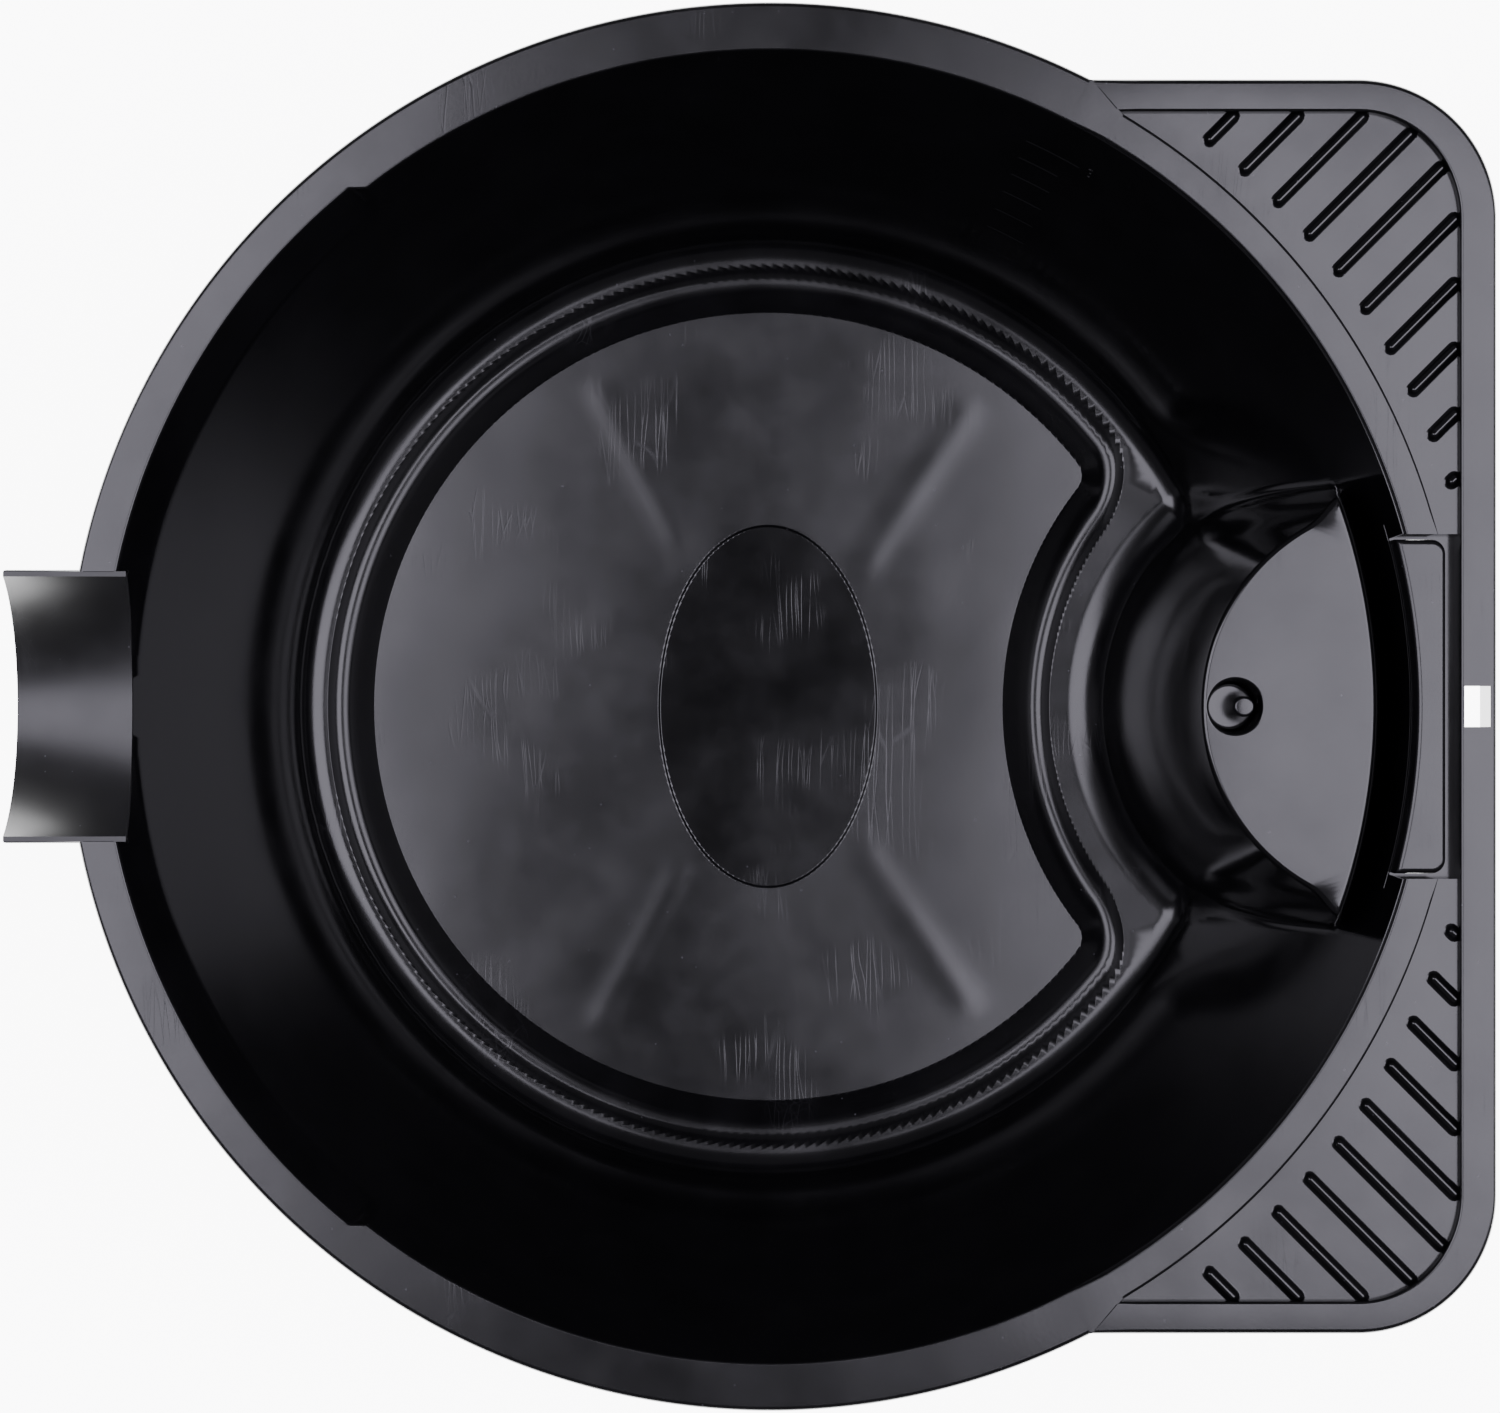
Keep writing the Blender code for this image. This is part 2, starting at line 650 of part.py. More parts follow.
def build_spout(parent):
    """Trough with a round bottom that slopes down and out from the wall."""
    stations = 5
    across_steps = 14
    tops = []
    for station in range(stations):
        share = station / (stations - 1)
        row = []
        for step in range(across_steps + 1):
            half = SPOUT_ROOT_HALF + (SPOUT_TIP_HALF - SPOUT_ROOT_HALF) * share
            y = half * (1.0 - 2.0 * step / across_steps)
            x = -math.sqrt(wall_radius(RIM_Z - SPOUT_ROOT_DEPTH) ** 2 - y * y)
            for _ in range(3):
                root_z = spout_floor(x, y)
                x = -math.sqrt(wall_radius(root_z) ** 2 - y * y)
            x = x + (SPOUT_TIP_X - x) * share
            row.append(Vector((x, y, spout_floor(x, y))))
        tops.append(row)
    bm = bmesh.new()
    upper = [[bm.verts.new(point) for point in row] for row in tops]
    lower = []
    for row in tops:
        below = []
        for step, point in enumerate(row):
            before = row[max(step - 1, 0)]
            after = row[min(step + 1, across_steps)]
            slope = math.atan2(after.z - before.z, before.y - after.y)
            out = point - Vector((0.0, math.sin(slope), math.cos(slope))) * (SKIN - 0.4)
            out.y = max(-SPOUT_SIDE_Y + GAP, min(SPOUT_SIDE_Y - GAP, out.y))
            below.append(bm.verts.new(out))
        lower.append(below)
    for grid in (upper, lower):
        for row, after in zip(grid, grid[1:]):
            for step in range(across_steps):
                bm.faces.new((row[step], row[step + 1], after[step + 1], after[step]))
    for a, b in ((upper[0], lower[0]), (upper[-1], lower[-1])):
        for step in range(across_steps):
            bm.faces.new((a[step], a[step + 1], b[step + 1], b[step]))
    for step in range(stations - 1):
        for column in (0, across_steps):
            bm.faces.new((upper[step][column], upper[step + 1][column], lower[step + 1][column],
                          lower[step][column]))
    add_object("pour_spout", bm, 0.016, parent)


def main():
    clear_scene()
    axis = bpy.data.objects.new("basin_axis", None)
    axis.location = (AXIS_X * MM, 0.0, 0.0)
    bpy.context.scene.collection.objects.link(axis)
    build_floor(axis)
    build_channel(axis)
    build_wall(axis)
    build_tower(axis)
    build_cup(axis)
    for side, name in ((1.0, "left"), (-1.0, "right")):
        build_rim(axis, side, name)
        build_arm(axis, side, name)
        build_gusset(axis, side, name)
    build_bar(axis)
    build_pad(axis)
    build_spout(axis)


main()
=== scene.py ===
"""Looks of the round oil drain pan: a fine moulded skin over every CAD region, black plastic and a studio.

Lengths are in millimetres in plan coordinates centred on the basin's axis, as on a moulder's drawing:
+X towards the handle, -X towards the spout, +Z up from the floor.
"""
import math
import bmesh
import bpy
import numpy as np
from mathutils import Matrix, Vector
from mathutils.geometry import delaunay_2d_cdt


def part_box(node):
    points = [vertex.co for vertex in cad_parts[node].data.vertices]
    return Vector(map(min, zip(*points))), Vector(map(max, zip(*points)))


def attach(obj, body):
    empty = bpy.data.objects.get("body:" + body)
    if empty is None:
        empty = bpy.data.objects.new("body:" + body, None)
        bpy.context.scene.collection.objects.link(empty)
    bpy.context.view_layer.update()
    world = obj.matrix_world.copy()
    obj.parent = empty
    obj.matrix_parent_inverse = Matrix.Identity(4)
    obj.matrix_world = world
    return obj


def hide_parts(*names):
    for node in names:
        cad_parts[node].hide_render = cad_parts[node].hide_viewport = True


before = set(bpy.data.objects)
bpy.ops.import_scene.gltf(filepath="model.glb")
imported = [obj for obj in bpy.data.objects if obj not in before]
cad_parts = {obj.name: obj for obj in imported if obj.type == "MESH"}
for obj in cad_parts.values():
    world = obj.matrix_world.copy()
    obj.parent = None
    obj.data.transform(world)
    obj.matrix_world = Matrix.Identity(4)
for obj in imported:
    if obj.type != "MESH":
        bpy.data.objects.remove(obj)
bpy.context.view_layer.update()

MM = 0.001
SKIN = 2.5


def axis_from_frame():
    low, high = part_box("floor_medallion")
    return 0.5 * (low.x + high.x) / MM


AXIS_X = axis_from_frame()
RIM_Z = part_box("rim_flange_left")[1].z / MM
SHELF_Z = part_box("filter_shelf")[1].z / MM
PLATEAU_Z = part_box("floor_panel")[1].z / MM
RIM_OUTER_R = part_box("rim_flange_left")[1].y / MM
BAR_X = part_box("handle_bar")[1].x / MM - AXIS_X
ARM_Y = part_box("handle_arm_left")[1].y / MM
SPOUT_TIP_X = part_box("pour_spout")[0].x / MM - AXIS_X

RIM_INNER_R = 184.0
WALL_DRAFT = 0.296      # horizontal run for each unit of height
FLARE = 3.0             # the top of the wall leans out by this much on the spout's side
FLARE_Z = 126.0
FLARE_ANGLE = 128.5     # degrees from the handle
GUTTER_Z = 2.5
PLATEAU_R = 122.8
CUT_X = 185.0           # centre of the arc that the tower cuts from the plateau
CUT_R = 112.0
CORNER = 4.0
CREASE_RUN = 15.5       # from the plateau's edge to the crease at the gutter's far side
CREASE_Z = 4.3
MEDALLION = (34.0, 56.5)

FOOT_Z = 5.6            # where the wall and the tower start
TOWER_X = 179.0         # centre of the shelf's front arc
TOWER_R = 57.8
FRONT_DRAFT = 0.13
TOWER_SKIN = 1.6
SWELL = 5.0             # extra radius towards the tips of the shelf, fading out down to the foot
SWELL_START = 50.0
SWELL_END = 62.0
SHELF_BACK_R = 170.0
SHELF_EDGE = 1.3        # rounding of the shelf's edge


# ---------------------------------------------------------------- cavity surface

def smooth_min(a, b, radius):
    """Lower of two distances with a round fillet of that radius where they meet."""
    over_a = np.maximum(radius - a, 0.0)
    over_b = np.maximum(radius - b, 0.0)
    return np.maximum(np.minimum(a, b), radius) - np.sqrt(over_a ** 2 + over_b ** 2)


def smooth_max(a, b, radius):
    return -smooth_min(-a, -b, radius)


def ease(value, low, high):
    """Smooth step from 0 at low to 1 at high."""
    t = np.clip((value - low) / (high - low), 0.0, 1.0)
    return t * t * (3.0 - 2.0 * t)


def plateau_run(x, y):
    """Distance outside the plateau's outline, which the tower's arc cuts."""
    return smooth_max(np.hypot(x, y) - PLATEAU_R, CUT_R - np.hypot(x - CUT_X, y), CORNER)


MEDALLION_SINK = 0.6
CREASE_WAYS = (56.0, 118.0)
CREASE_RISE = 0.16
CREASE_HALF = 4.5


def plateau_relief(x, y):
    """Sunk oval in the middle, and the four soft creases that run out from it."""
    radius = np.hypot(x, y)
    share = np.maximum(np.hypot(x / MEDALLION[0], y / MEDALLION[1]), 1e-6)
    outside = radius * (1.0 - 1.0 / share)
    relief = -MEDALLION_SINK * (1.0 - ease(outside, -0.45, 0.45))
    fade = ease(outside, 1.0, 14.0) * (1.0 - ease(radius, PLATEAU_R - 14.0, PLATEAU_R - 4.0))
    for degrees in CREASE_WAYS:
        c, s = math.cos(math.radians(degrees)), math.sin(math.radians(degrees))
        aside = x * s - np.abs(y) * c
        relief = relief + CREASE_RISE * fade * np.exp(-(aside / CREASE_HALF) ** 2)
    return relief


def floor_height(x, y):
    """Plateau, slope, gutter, crease and shoulder, by the distance outside the plateau."""
    run = plateau_run(x, y)
    slope = PLATEAU_Z - (run - 0.5) * 0.95
    height = smooth_min(np.full_like(run, PLATEAU_Z), slope, 0.9)
    rise = GUTTER_Z + (run - CREASE_RUN + 1.6) * 1.25
    shoulder = CREASE_Z + (run - CREASE_RUN) * 0.06
    height = smooth_max(height, np.full_like(run, GUTTER_Z), 1.8)
    return smooth_max(height, smooth_min(rise, shoulder, 0.35), 1.0) + plateau_relief(x, y)


def wall_flare(x, y, z):
    """Lean-out of the top of the wall on the spout's side."""
    angle = np.degrees(np.arctan2(np.abs(y), x))
    share = np.clip((angle - FLARE_ANGLE + 0.6) / 1.2, 0.0, 1.0)
    return FLARE * share * np.clip((z - FLARE_Z) / (RIM_Z - FLARE_Z), 0.0, 1.0)


def wall_radius(z):
    return RIM_INNER_R - WALL_DRAFT * (RIM_Z - z)


def tower_reach(y, z):
    """Radius of the tower's front about its own centre, wider towards the tips of the shelf."""
    fade = (z - FOOT_Z) / (SHELF_Z - FOOT_Z)
    return TOWER_R + SWELL * ease(np.abs(y), SWELL_START, SWELL_END) * fade + FRONT_DRAFT * (SHELF_Z - z)


def tower_distance(x, y, z):
    """Distance outside the tower's mantle in plan, at a height."""
    front = np.hypot(x - TOWER_X, y) - tower_reach(y, z)
    back = np.hypot(x, y) - (SHELF_BACK_R + FRONT_DRAFT * (SHELF_Z - z))
    return smooth_max(front, back, 0.5)


def cavity(x, y, z):
    """Distance into the open space from the nearest surface; zero on the moulding's skin."""
    ground = z - floor_height(x, y)
    wall = (wall_radius(z) + wall_flare(x, y, z) - np.hypot(x, y)) * 0.959
    room = smooth_min(ground, wall, 5.5)
    tower = smooth_max(tower_distance(x, y, z) * 0.99, z - SHELF_Z, SHELF_EDGE)
    fillet = 2.0 + 1.6 * ease(-z, -100.0, -60.0) + 7.0 * ease(-z, -35.0, -6.0)
    return smooth_min(room, tower, fillet)


def skin_height(x, y, low=0.0, high=None):
    """Height of the skin at plan points, by bisection."""
    low = np.full_like(x, low)
    high = np.full_like(x, RIM_Z + 2.0 if high is None else high)
    for _ in range(34):
        middle = 0.5 * (low + high)
        inside = cavity(x, y, middle) > 0.0
        high = np.where(inside, middle, high)
        low = np.where(inside, low, middle)
    return np.minimum(0.5 * (low + high), RIM_Z - 0.3)


def skin_normals(points):
    """Unit normals of the skin into the cavity, from the slope of the distance."""
    step = 0.02
    x, y, z = points[..., 0], points[..., 1], points[..., 2]
    slope = np.stack([cavity(x + step, y, z) - cavity(x - step, y, z),
                      cavity(x, y + step, z) - cavity(x, y - step, z),
                      cavity(x, y, z + step) - cavity(x, y, z - step)], axis=-1)
    return slope / np.linalg.norm(slope, axis=-1, keepdims=True)


# ---------------------------------------------------------------- plan points of the basin

SPOUT_HALF = 36.4
SPOUT_ROOT_DEPTH = 12.0
SPOUT_TIP_DEPTH = 22.0
SPOUT_SIDE_Y = 38.9
BAND_END_Y = 48.3
PAD_DEPTH = 10.0
EDGE = 0.8
GROOVE_Y = 60.0
FOOT_R = 144.6
CUP_X = 130.5
CUP_R = 8.3
PLATEAU_EDGE = 0.3


def spout_floor(x, y):
    """Height of the spout's trough."""
    root = -(wall_radius(RIM_Z - SPOUT_ROOT_DEPTH))
    along = np.clip((x - root) / (SPOUT_TIP_X - root), 0.0, 1.0)
    depth = SPOUT_ROOT_DEPTH + (SPOUT_TIP_DEPTH - SPOUT_ROOT_DEPTH) * along
    radius = (SPOUT_HALF ** 2 + depth ** 2) / (2.0 * depth)
    across = np.minimum(np.abs(y), SPOUT_HALF)
    return RIM_Z - depth + radius - np.sqrt(radius ** 2 - across ** 2)


def wall_top(angle):
    """Radius in plan where the wall ends at the top: under the rim, the grip pad or the spout's lip."""
    c, s = np.cos(angle), np.sin(angle)
    across = np.abs(RIM_INNER_R * s)
    height = np.full_like(angle, RIM_Z - EDGE)
    height = np.where((c > 0.0) & (across < BAND_END_Y), RIM_Z - PAD_DEPTH - 0.2, height)
    trough = spout_floor(np.full_like(angle, -170.0), across)
    height = np.where((c < 0.0) & (across < SPOUT_HALF), np.minimum(height, trough - 0.6), height)
    radius = wall_radius(height)
    return radius + wall_flare(radius * c, radius * s, height)


def level_loop(level, spacing):
    """Closed loop at a distance outside the plateau. Loops of one spacing have matching points."""
    outer, inner = PLATEAU_R + level, CUT_R - level
    x = (outer ** 2 - inner ** 2 + CUT_X ** 2) / (2.0 * CUT_X)
    y = math.sqrt(outer ** 2 - x * x)
    turn = math.atan2(y, x)
    swing = math.atan2(y, CUT_X - x)
    a = np.linspace(turn, 2.0 * math.pi - turn, int(640.0 / spacing))
    b = np.linspace(-swing, swing, int(230.0 / spacing))[1:-1]
    plan = np.concatenate([np.stack([outer * np.cos(a), outer * np.sin(a)], axis=-1),
                           np.stack([CUT_X - inner * np.cos(b), inner * np.sin(b)], axis=-1)])
    step = 0.01
    for _ in range(5):
        x, y = plan[:, 0], plan[:, 1]
        miss = plateau_run(x, y) - level
        slope = np.stack([plateau_run(x + step, y) - plateau_run(x - step, y),
                          plateau_run(x, y + step) - plateau_run(x, y - step)], axis=-1) / (2.0 * step)
        plan = plan - (miss / np.maximum((slope ** 2).sum(axis=-1), 0.3))[:, None] * slope
    return plan


def circles_meet(x_a, r_a, x_b, r_b):
    """Upper crossing of two circles centred on the middle line."""
    x = (r_a ** 2 - r_b ** 2 + x_b ** 2 - x_a ** 2) / (2.0 * (x_b - x_a))
    return x, math.sqrt(r_a ** 2 - (x - x_a) ** 2)


def arc(cx, cy, radius, start, end, spacing):
    count = max(3, int(abs(end - start) * radius / spacing))
    a = np.linspace(start, end, count)
    return np.stack([cx + radius * np.cos(a), cy + radius * np.sin(a)], axis=-1)


def mirrored(plan):
    return plan[::-1] * np.array([1.0, -1.0])


def foot_loop(spacing):
    """Border between the channel and what rises from it: the wall all round and the tower's foot."""
    foot = float(tower_reach(0.0, FOOT_Z))
    x, y = circles_meet(0.0, FOOT_R, TOWER_X, foot)
    turn, swing = math.atan2(y, x), math.atan2(y, x - TOWER_X)
    main = arc(0.0, 0.0, FOOT_R, turn, 2.0 * math.pi - turn, spacing)
    front = arc(TOWER_X, 0.0, foot, 2.0 * math.pi - swing, swing, spacing)
    return np.concatenate([main[:-1], front[:-1]])


def shelf_outline(spacing):
    """Outline of the shelf, clockwise from the lower tip, and its outward normals."""
    def edge_x(across):
        return TOWER_X - np.sqrt(tower_reach(across, SHELF_Z) ** 2 - across ** 2)

    across = np.linspace(SWELL_START, SWELL_END, 4000)
    tip = across[np.argmin(np.abs(np.hypot(edge_x(across), across) - SHELF_BACK_R))]
    fine = np.linspace(-tip, tip, 4000)
    run = np.concatenate([[0.0], np.cumsum(np.hypot(np.diff(edge_x(fine)), np.diff(fine)))])
    y = np.interp(np.linspace(0.0, run[-1], int(run[-1] / spacing)), run, fine)
    front = np.stack([edge_x(y), y], axis=-1)
    end = math.atan2(front[-1, 1], front[-1, 0])
    back = arc(0.0, 0.0, SHELF_BACK_R, end, -end, spacing)
    plan = np.concatenate([front, back[1:-1]])
    way = np.roll(plan, -1, axis=0) - np.roll(plan, 1, axis=0)
    way /= np.linalg.norm(way, axis=1, keepdims=True)
    return plan, np.stack([-way[:, 1], way[:, 0]], axis=-1)


def mantle_loop(plan, normals, height):
    """Where the tower's mantle passes at a height, straight out from the shelf's outline."""
    low, high = np.zeros(len(plan)), np.full(len(plan), 30.0)
    for _ in range(28):
        middle = 0.5 * (low + high)
        place = plan + normals * middle[:, None]
        out = tower_distance(place[:, 0], place[:, 1], height) > 0.0
        high = np.where(out, middle, high)
        low = np.where(out, low, middle)
    return plan + normals * low[:, None]


def oval(grow, count):
    a = np.linspace(0.0, 2.0 * math.pi, count, endpoint=False)
    return np.stack([(MEDALLION[0] + grow) * np.cos(a), (MEDALLION[1] + grow) * np.sin(a)], axis=-1)


def rim_columns():
    """Angles of the wall's columns, with pairs where its top steps."""
    even = np.linspace(0.0, 2.0 * math.pi, 300, endpoint=False)
    pad = math.asin(BAND_END_Y / RIM_INNER_R)
    steps = [pad - 0.001, pad + 0.001]
    for degrees in (FLARE_ANGLE - 0.8, FLARE_ANGLE - 0.3, FLARE_ANGLE + 0.2, FLARE_ANGLE + 0.7):
        steps.append(math.radians(degrees))
    spout = math.pi - math.asin(SPOUT_HALF / RIM_INNER_R)
    steps += [spout + 0.01 * k for k in range(-2, 20)]
    steps += [2.0 * math.pi - angle for angle in steps]
    return np.unique(np.concatenate([even, np.array(steps)]))


MEDALLION_ROWS = (-24.0, -12.0, -4.0, -0.8, -0.5, -0.3, -0.15, 0.15, 0.3, 0.5, 0.8, 1.6)
CREASE_ROWS = (-9.0, -6.0, -4.0, -2.0, 0.0, 2.0, 4.0, 6.0, 9.0)
PLATEAU_ROWS = (-40.0, -32.0, -24.0, -17.0, -12.0, -8.0, -4.0, -1.8, -1.0, -0.6, -0.3, 0.0, 0.6, 0.9,
                1.3, 2.0, 3.2, 4.2, 4.8, 5.4, 6.0, 6.8, 8.0, 10.0, 11.4, 12.4, 13.0, 13.4, 13.8, 14.1,
                14.4, 14.7, 15.0, 15.2, 15.4, 15.6, 15.8, 16.1, 16.6, 17.2)
WALL_ROWS = (140.6, 141.6, 142.6, 143.6, 145.6, 146.6, 147.6, 149.0, 151.0, 154.0, 159.0, 164.0, 169.0,
             173.0, 177.0, 179.0, 180.6, 182.0, 183.0, 185.2)
EDGE_ROWS = (0.8, 0.5, 0.22, 0.05)
MANTLE_ROWS = (135.1, 134.0, 132.0, 129.0, 125.0, 119.0, 112.0, 104.0, 96.0, 88.0, 80.0, 72.0, 64.0,
               56.0, 48.0, 40.0, 33.0, 27.0, 22.0, 17.0)
GROOVE_ROWS = (172.6, 173.0, 173.4, 173.7, 174.0, 174.3, 174.6, 174.9, 175.3, 175.8, 176.6, 177.8,
               179.2, 180.3)
MEDALLION_MARGIN = 3.0


def off_medallion(plan):
    """Plan points clear of the oval and its own rows."""
    reach_x, reach_y = MEDALLION[0] + MEDALLION_MARGIN, MEDALLION[1] + MEDALLION_MARGIN
    return plan[np.hypot(plan[:, 0] / reach_x, plan[:, 1] / reach_y) > 1.0]


def basin_plan():
    """Plan points of the whole basin and the constraint loops that part its pieces."""
    points, loops = [], {}
    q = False
    fine = 2.6 if q else 1.0

    def add(plan, name=None):
        start = sum(len(group) for group in points)
        points.append(plan)
        if name:
            loops[name] = (start, len(plan))

    for grow in MEDALLION_ROWS:
        add(oval(grow, 120))
    add(oval(0.0, 120), "medallion")
    for degrees in CREASE_WAYS:
        for aside in CREASE_ROWS:
            c, s = math.cos(math.radians(degrees)), math.sin(math.radians(degrees))
            reach = np.arange(50.0, 112.0, 4.0)
            plan = off_medallion(np.stack([reach * c + aside * s, reach * s - aside * c], axis=-1))
            add(plan)
            add(mirrored(plan))
    for level in PLATEAU_ROWS:
        add(off_medallion(level_loop(level, 3.0 * fine)))
    add(level_loop(PLATEAU_EDGE, 3.0 * fine), "plateau")
    add(foot_loop(2.4 * fine), "foot")
    columns = rim_columns()
    top = wall_top(columns)
    add(np.stack([top * np.cos(columns), top * np.sin(columns)], axis=-1), "top")
    for radius in WALL_ROWS:
        plan = np.stack([radius * np.cos(columns), radius * np.sin(columns)], axis=-1)
        room = (radius < top - 0.5) & (tower_distance(plan[:, 0], plan[:, 1], 0.0) > 2.0)
        room &= (plan[:, 0] < 0.0) | (np.abs(plan[:, 1]) > GROOVE_Y)
        add(plan[room])
    outline, normals = shelf_outline(1.3 * fine)
    for share in EDGE_ROWS:
        add(outline - normals * SHELF_EDGE * share)
    add(outline - normals * SHELF_EDGE, "shelf")
    for height in MANTLE_ROWS:
        plan = mantle_loop(outline, normals, height)
        add(plan[np.hypot(plan[:, 0], plan[:, 1]) < wall_radius(height) - 0.5])
    behind = (np.hypot(outline[:, 0], outline[:, 1]) > SHELF_BACK_R - 0.01) & (outline[:, 0] > 0.0)
    bearing = np.arctan2(outline[behind, 1], outline[behind, 0])
    for radius in GROOVE_ROWS:
        add(np.stack([radius * np.cos(bearing), radius * np.sin(bearing)], axis=-1))
    pitch = 1.35 * fine
    gx, gy = np.meshgrid(np.arange(86.0, 183.0, pitch), np.arange(-84.0, 84.0, pitch * 0.87))
    gx = gx + 0.5 * pitch * (np.arange(gx.shape[0]) % 2)[:, None]
    gx, gy = gx.ravel(), gy.ravel()
    radius = np.hypot(gx, gy)
    keep = (plateau_run(gx, gy) > 17.4) & (radius < wall_top(np.arctan2(gy, gx)) - 0.7)
    keep &= (tower_distance(gx, gy, SHELF_Z) > 1.0) & (tower_distance(gx, gy, 0.0) < 14.0)
    keep &= (radius < SHELF_BACK_R - 1.0) | (np.abs(gy) > GROOVE_Y + 1.0)
    add(np.stack([gx[keep], gy[keep]], axis=-1))
    turn = np.linspace(0.0, 2.0 * math.pi, 72, endpoint=False)
    add(np.stack([CUP_X + CUP_R * np.cos(turn), CUP_R * np.sin(turn)], axis=-1), "cup")
    return np.concatenate(points), loops


def in_loop(plan, loop):
    """Whether plan points lie inside a closed polygon."""
    inside = np.zeros(len(plan), bool)
    for (ax, ay), (bx, by) in zip(loop, np.roll(loop, -1, axis=0)):
        crosses = (ay > plan[:, 1]) != (by > plan[:, 1])
        if crosses.any():
            inside ^= crosses & (plan[:, 0] < (bx - ax) * (plan[:, 1] - ay) / (by - ay + 1e-12) + ax)
    return inside


def split_basin():
    """Triangles of the basin's skin, in one list for each piece."""
    plan, loops = basin_plan()
    edges = []
    for start, count in loops.values():
        edges += [(start + k, start + (k + 1) % count) for k in range(count)]
    result = delaunay_2d_cdt([Vector(p) for p in plan], edges, [], 0, 1e-5, False)
    verts = np.array([(v.x, v.y) for v in result[0]])
    tris = np.array([face for face in result[2] if len(face) == 3])
    middle = verts[tris].mean(axis=1)
    inside = {name: in_loop(middle, plan[start:start + count]) for name, (start, count) in loops.items()}
    points = np.column_stack([verts, skin_height(verts[:, 0], verts[:, 1])])
    centre = points[tris].mean(axis=1)
    x, y, z = centre[:, 0], centre[:, 1], centre[:, 2]
    towerness = tower_distance(x, y, z) < (wall_radius(z) - np.hypot(x, y)) * 0.959
    kinds = np.full(len(tris), "basin_wall", dtype=object)
    kinds[~inside["foot"] & towerness & (x > 90.0)] = "filter_tower"
    kinds[inside["foot"]] = "foot_channel"
    kinds[inside["plateau"]] = "floor_panel"
    kinds[inside["medallion"]] = "floor_medallion"
    kinds[inside["shelf"]] = "filter_shelf"
    kinds[inside["cup"] | ~inside["top"]] = ""
    return points, tris, kinds


# ---------------------------------------------------------------- materials

def node(tree, kind, **values):
    made = tree.nodes.new(kind)
    for key, value in values.items():
        setattr(made, key, value)
    return made


def set_inputs(made, **values):
    for key, value in values.items():
        made.inputs[key.replace("_", " ")].default_value = value
    return made


def noise(tree, place, scale, detail=4.0, rough=0.55):
    made = set_inputs(node(tree, "ShaderNodeTexNoise"), Scale=scale, Detail=detail, Roughness=rough)
    tree.links.new(place, made.inputs["Vector"])
    return made.outputs["Fac"]


def ramp(tree, value, low, high, out_low=0.0, out_high=1.0):
    made = node(tree, "ShaderNodeMapRange")
    for key, number in (("From Min", low), ("From Max", high), ("To Min", out_low), ("To Max", out_high)):
        made.inputs[key].default_value = number
    tree.links.new(value, made.inputs["Value"])
    return made.outputs["Result"]


def maths(tree, operation, a, b):
    made = node(tree, "ShaderNodeMath", operation=operation)
    for index, value in enumerate((a, b)):
        if isinstance(value, (int, float)):
            made.inputs[index].default_value = value
        else:
            tree.links.new(value, made.inputs[index])
    return made.outputs[0]


def scratches(tree, place, angle, scale, width):
    """Sparse straight hairlines along one direction: stretched cells, broken up by a soft noise."""
    turned = node(tree, "ShaderNodeMapping")
    turned.inputs["Rotation"].default_value = (0.0, 0.0, angle)
    turned.inputs["Scale"].default_value = (scale, scale * 0.045, scale)
    bend = maths(tree, "MULTIPLY", noise(tree, place, 17.0, 2.0), 0.006)
    offset = node(tree, "ShaderNodeVectorMath")
    tree.links.new(place, offset.inputs[0])
    tree.links.new(bend, offset.inputs[1])
    tree.links.new(offset.outputs["Vector"], turned.inputs["Vector"])
    cells = node(tree, "ShaderNodeTexVoronoi", feature="DISTANCE_TO_EDGE")
    cells.inputs["Scale"].default_value = 1.0
    tree.links.new(turned.outputs["Vector"], cells.inputs["Vector"])
    line = ramp(tree, cells.outputs["Distance"], 0.0, width, 1.0, 0.0)
    patch = ramp(tree, noise(tree, place, 31.0, 2.0), 0.57, 0.7)
    return maths(tree, "MULTIPLY", line, patch)


def specks(tree, place, scale, size):
    """Dust: small dots in some of the cells."""
    cells = node(tree, "ShaderNodeTexVoronoi", feature="F1")
    cells.inputs["Scale"].default_value = scale
    tree.links.new(place, cells.inputs["Vector"])
    dot = ramp(tree, cells.outputs["Distance"], size * 0.5, size, 1.0, 0.0)
    parts = node(tree, "ShaderNodeSeparateColor")
    tree.links.new(cells.outputs["Color"], parts.inputs["Color"])
    return maths(tree, "MULTIPLY", dot, maths(tree, "GREATER_THAN", parts.outputs["Red"], 0.8))


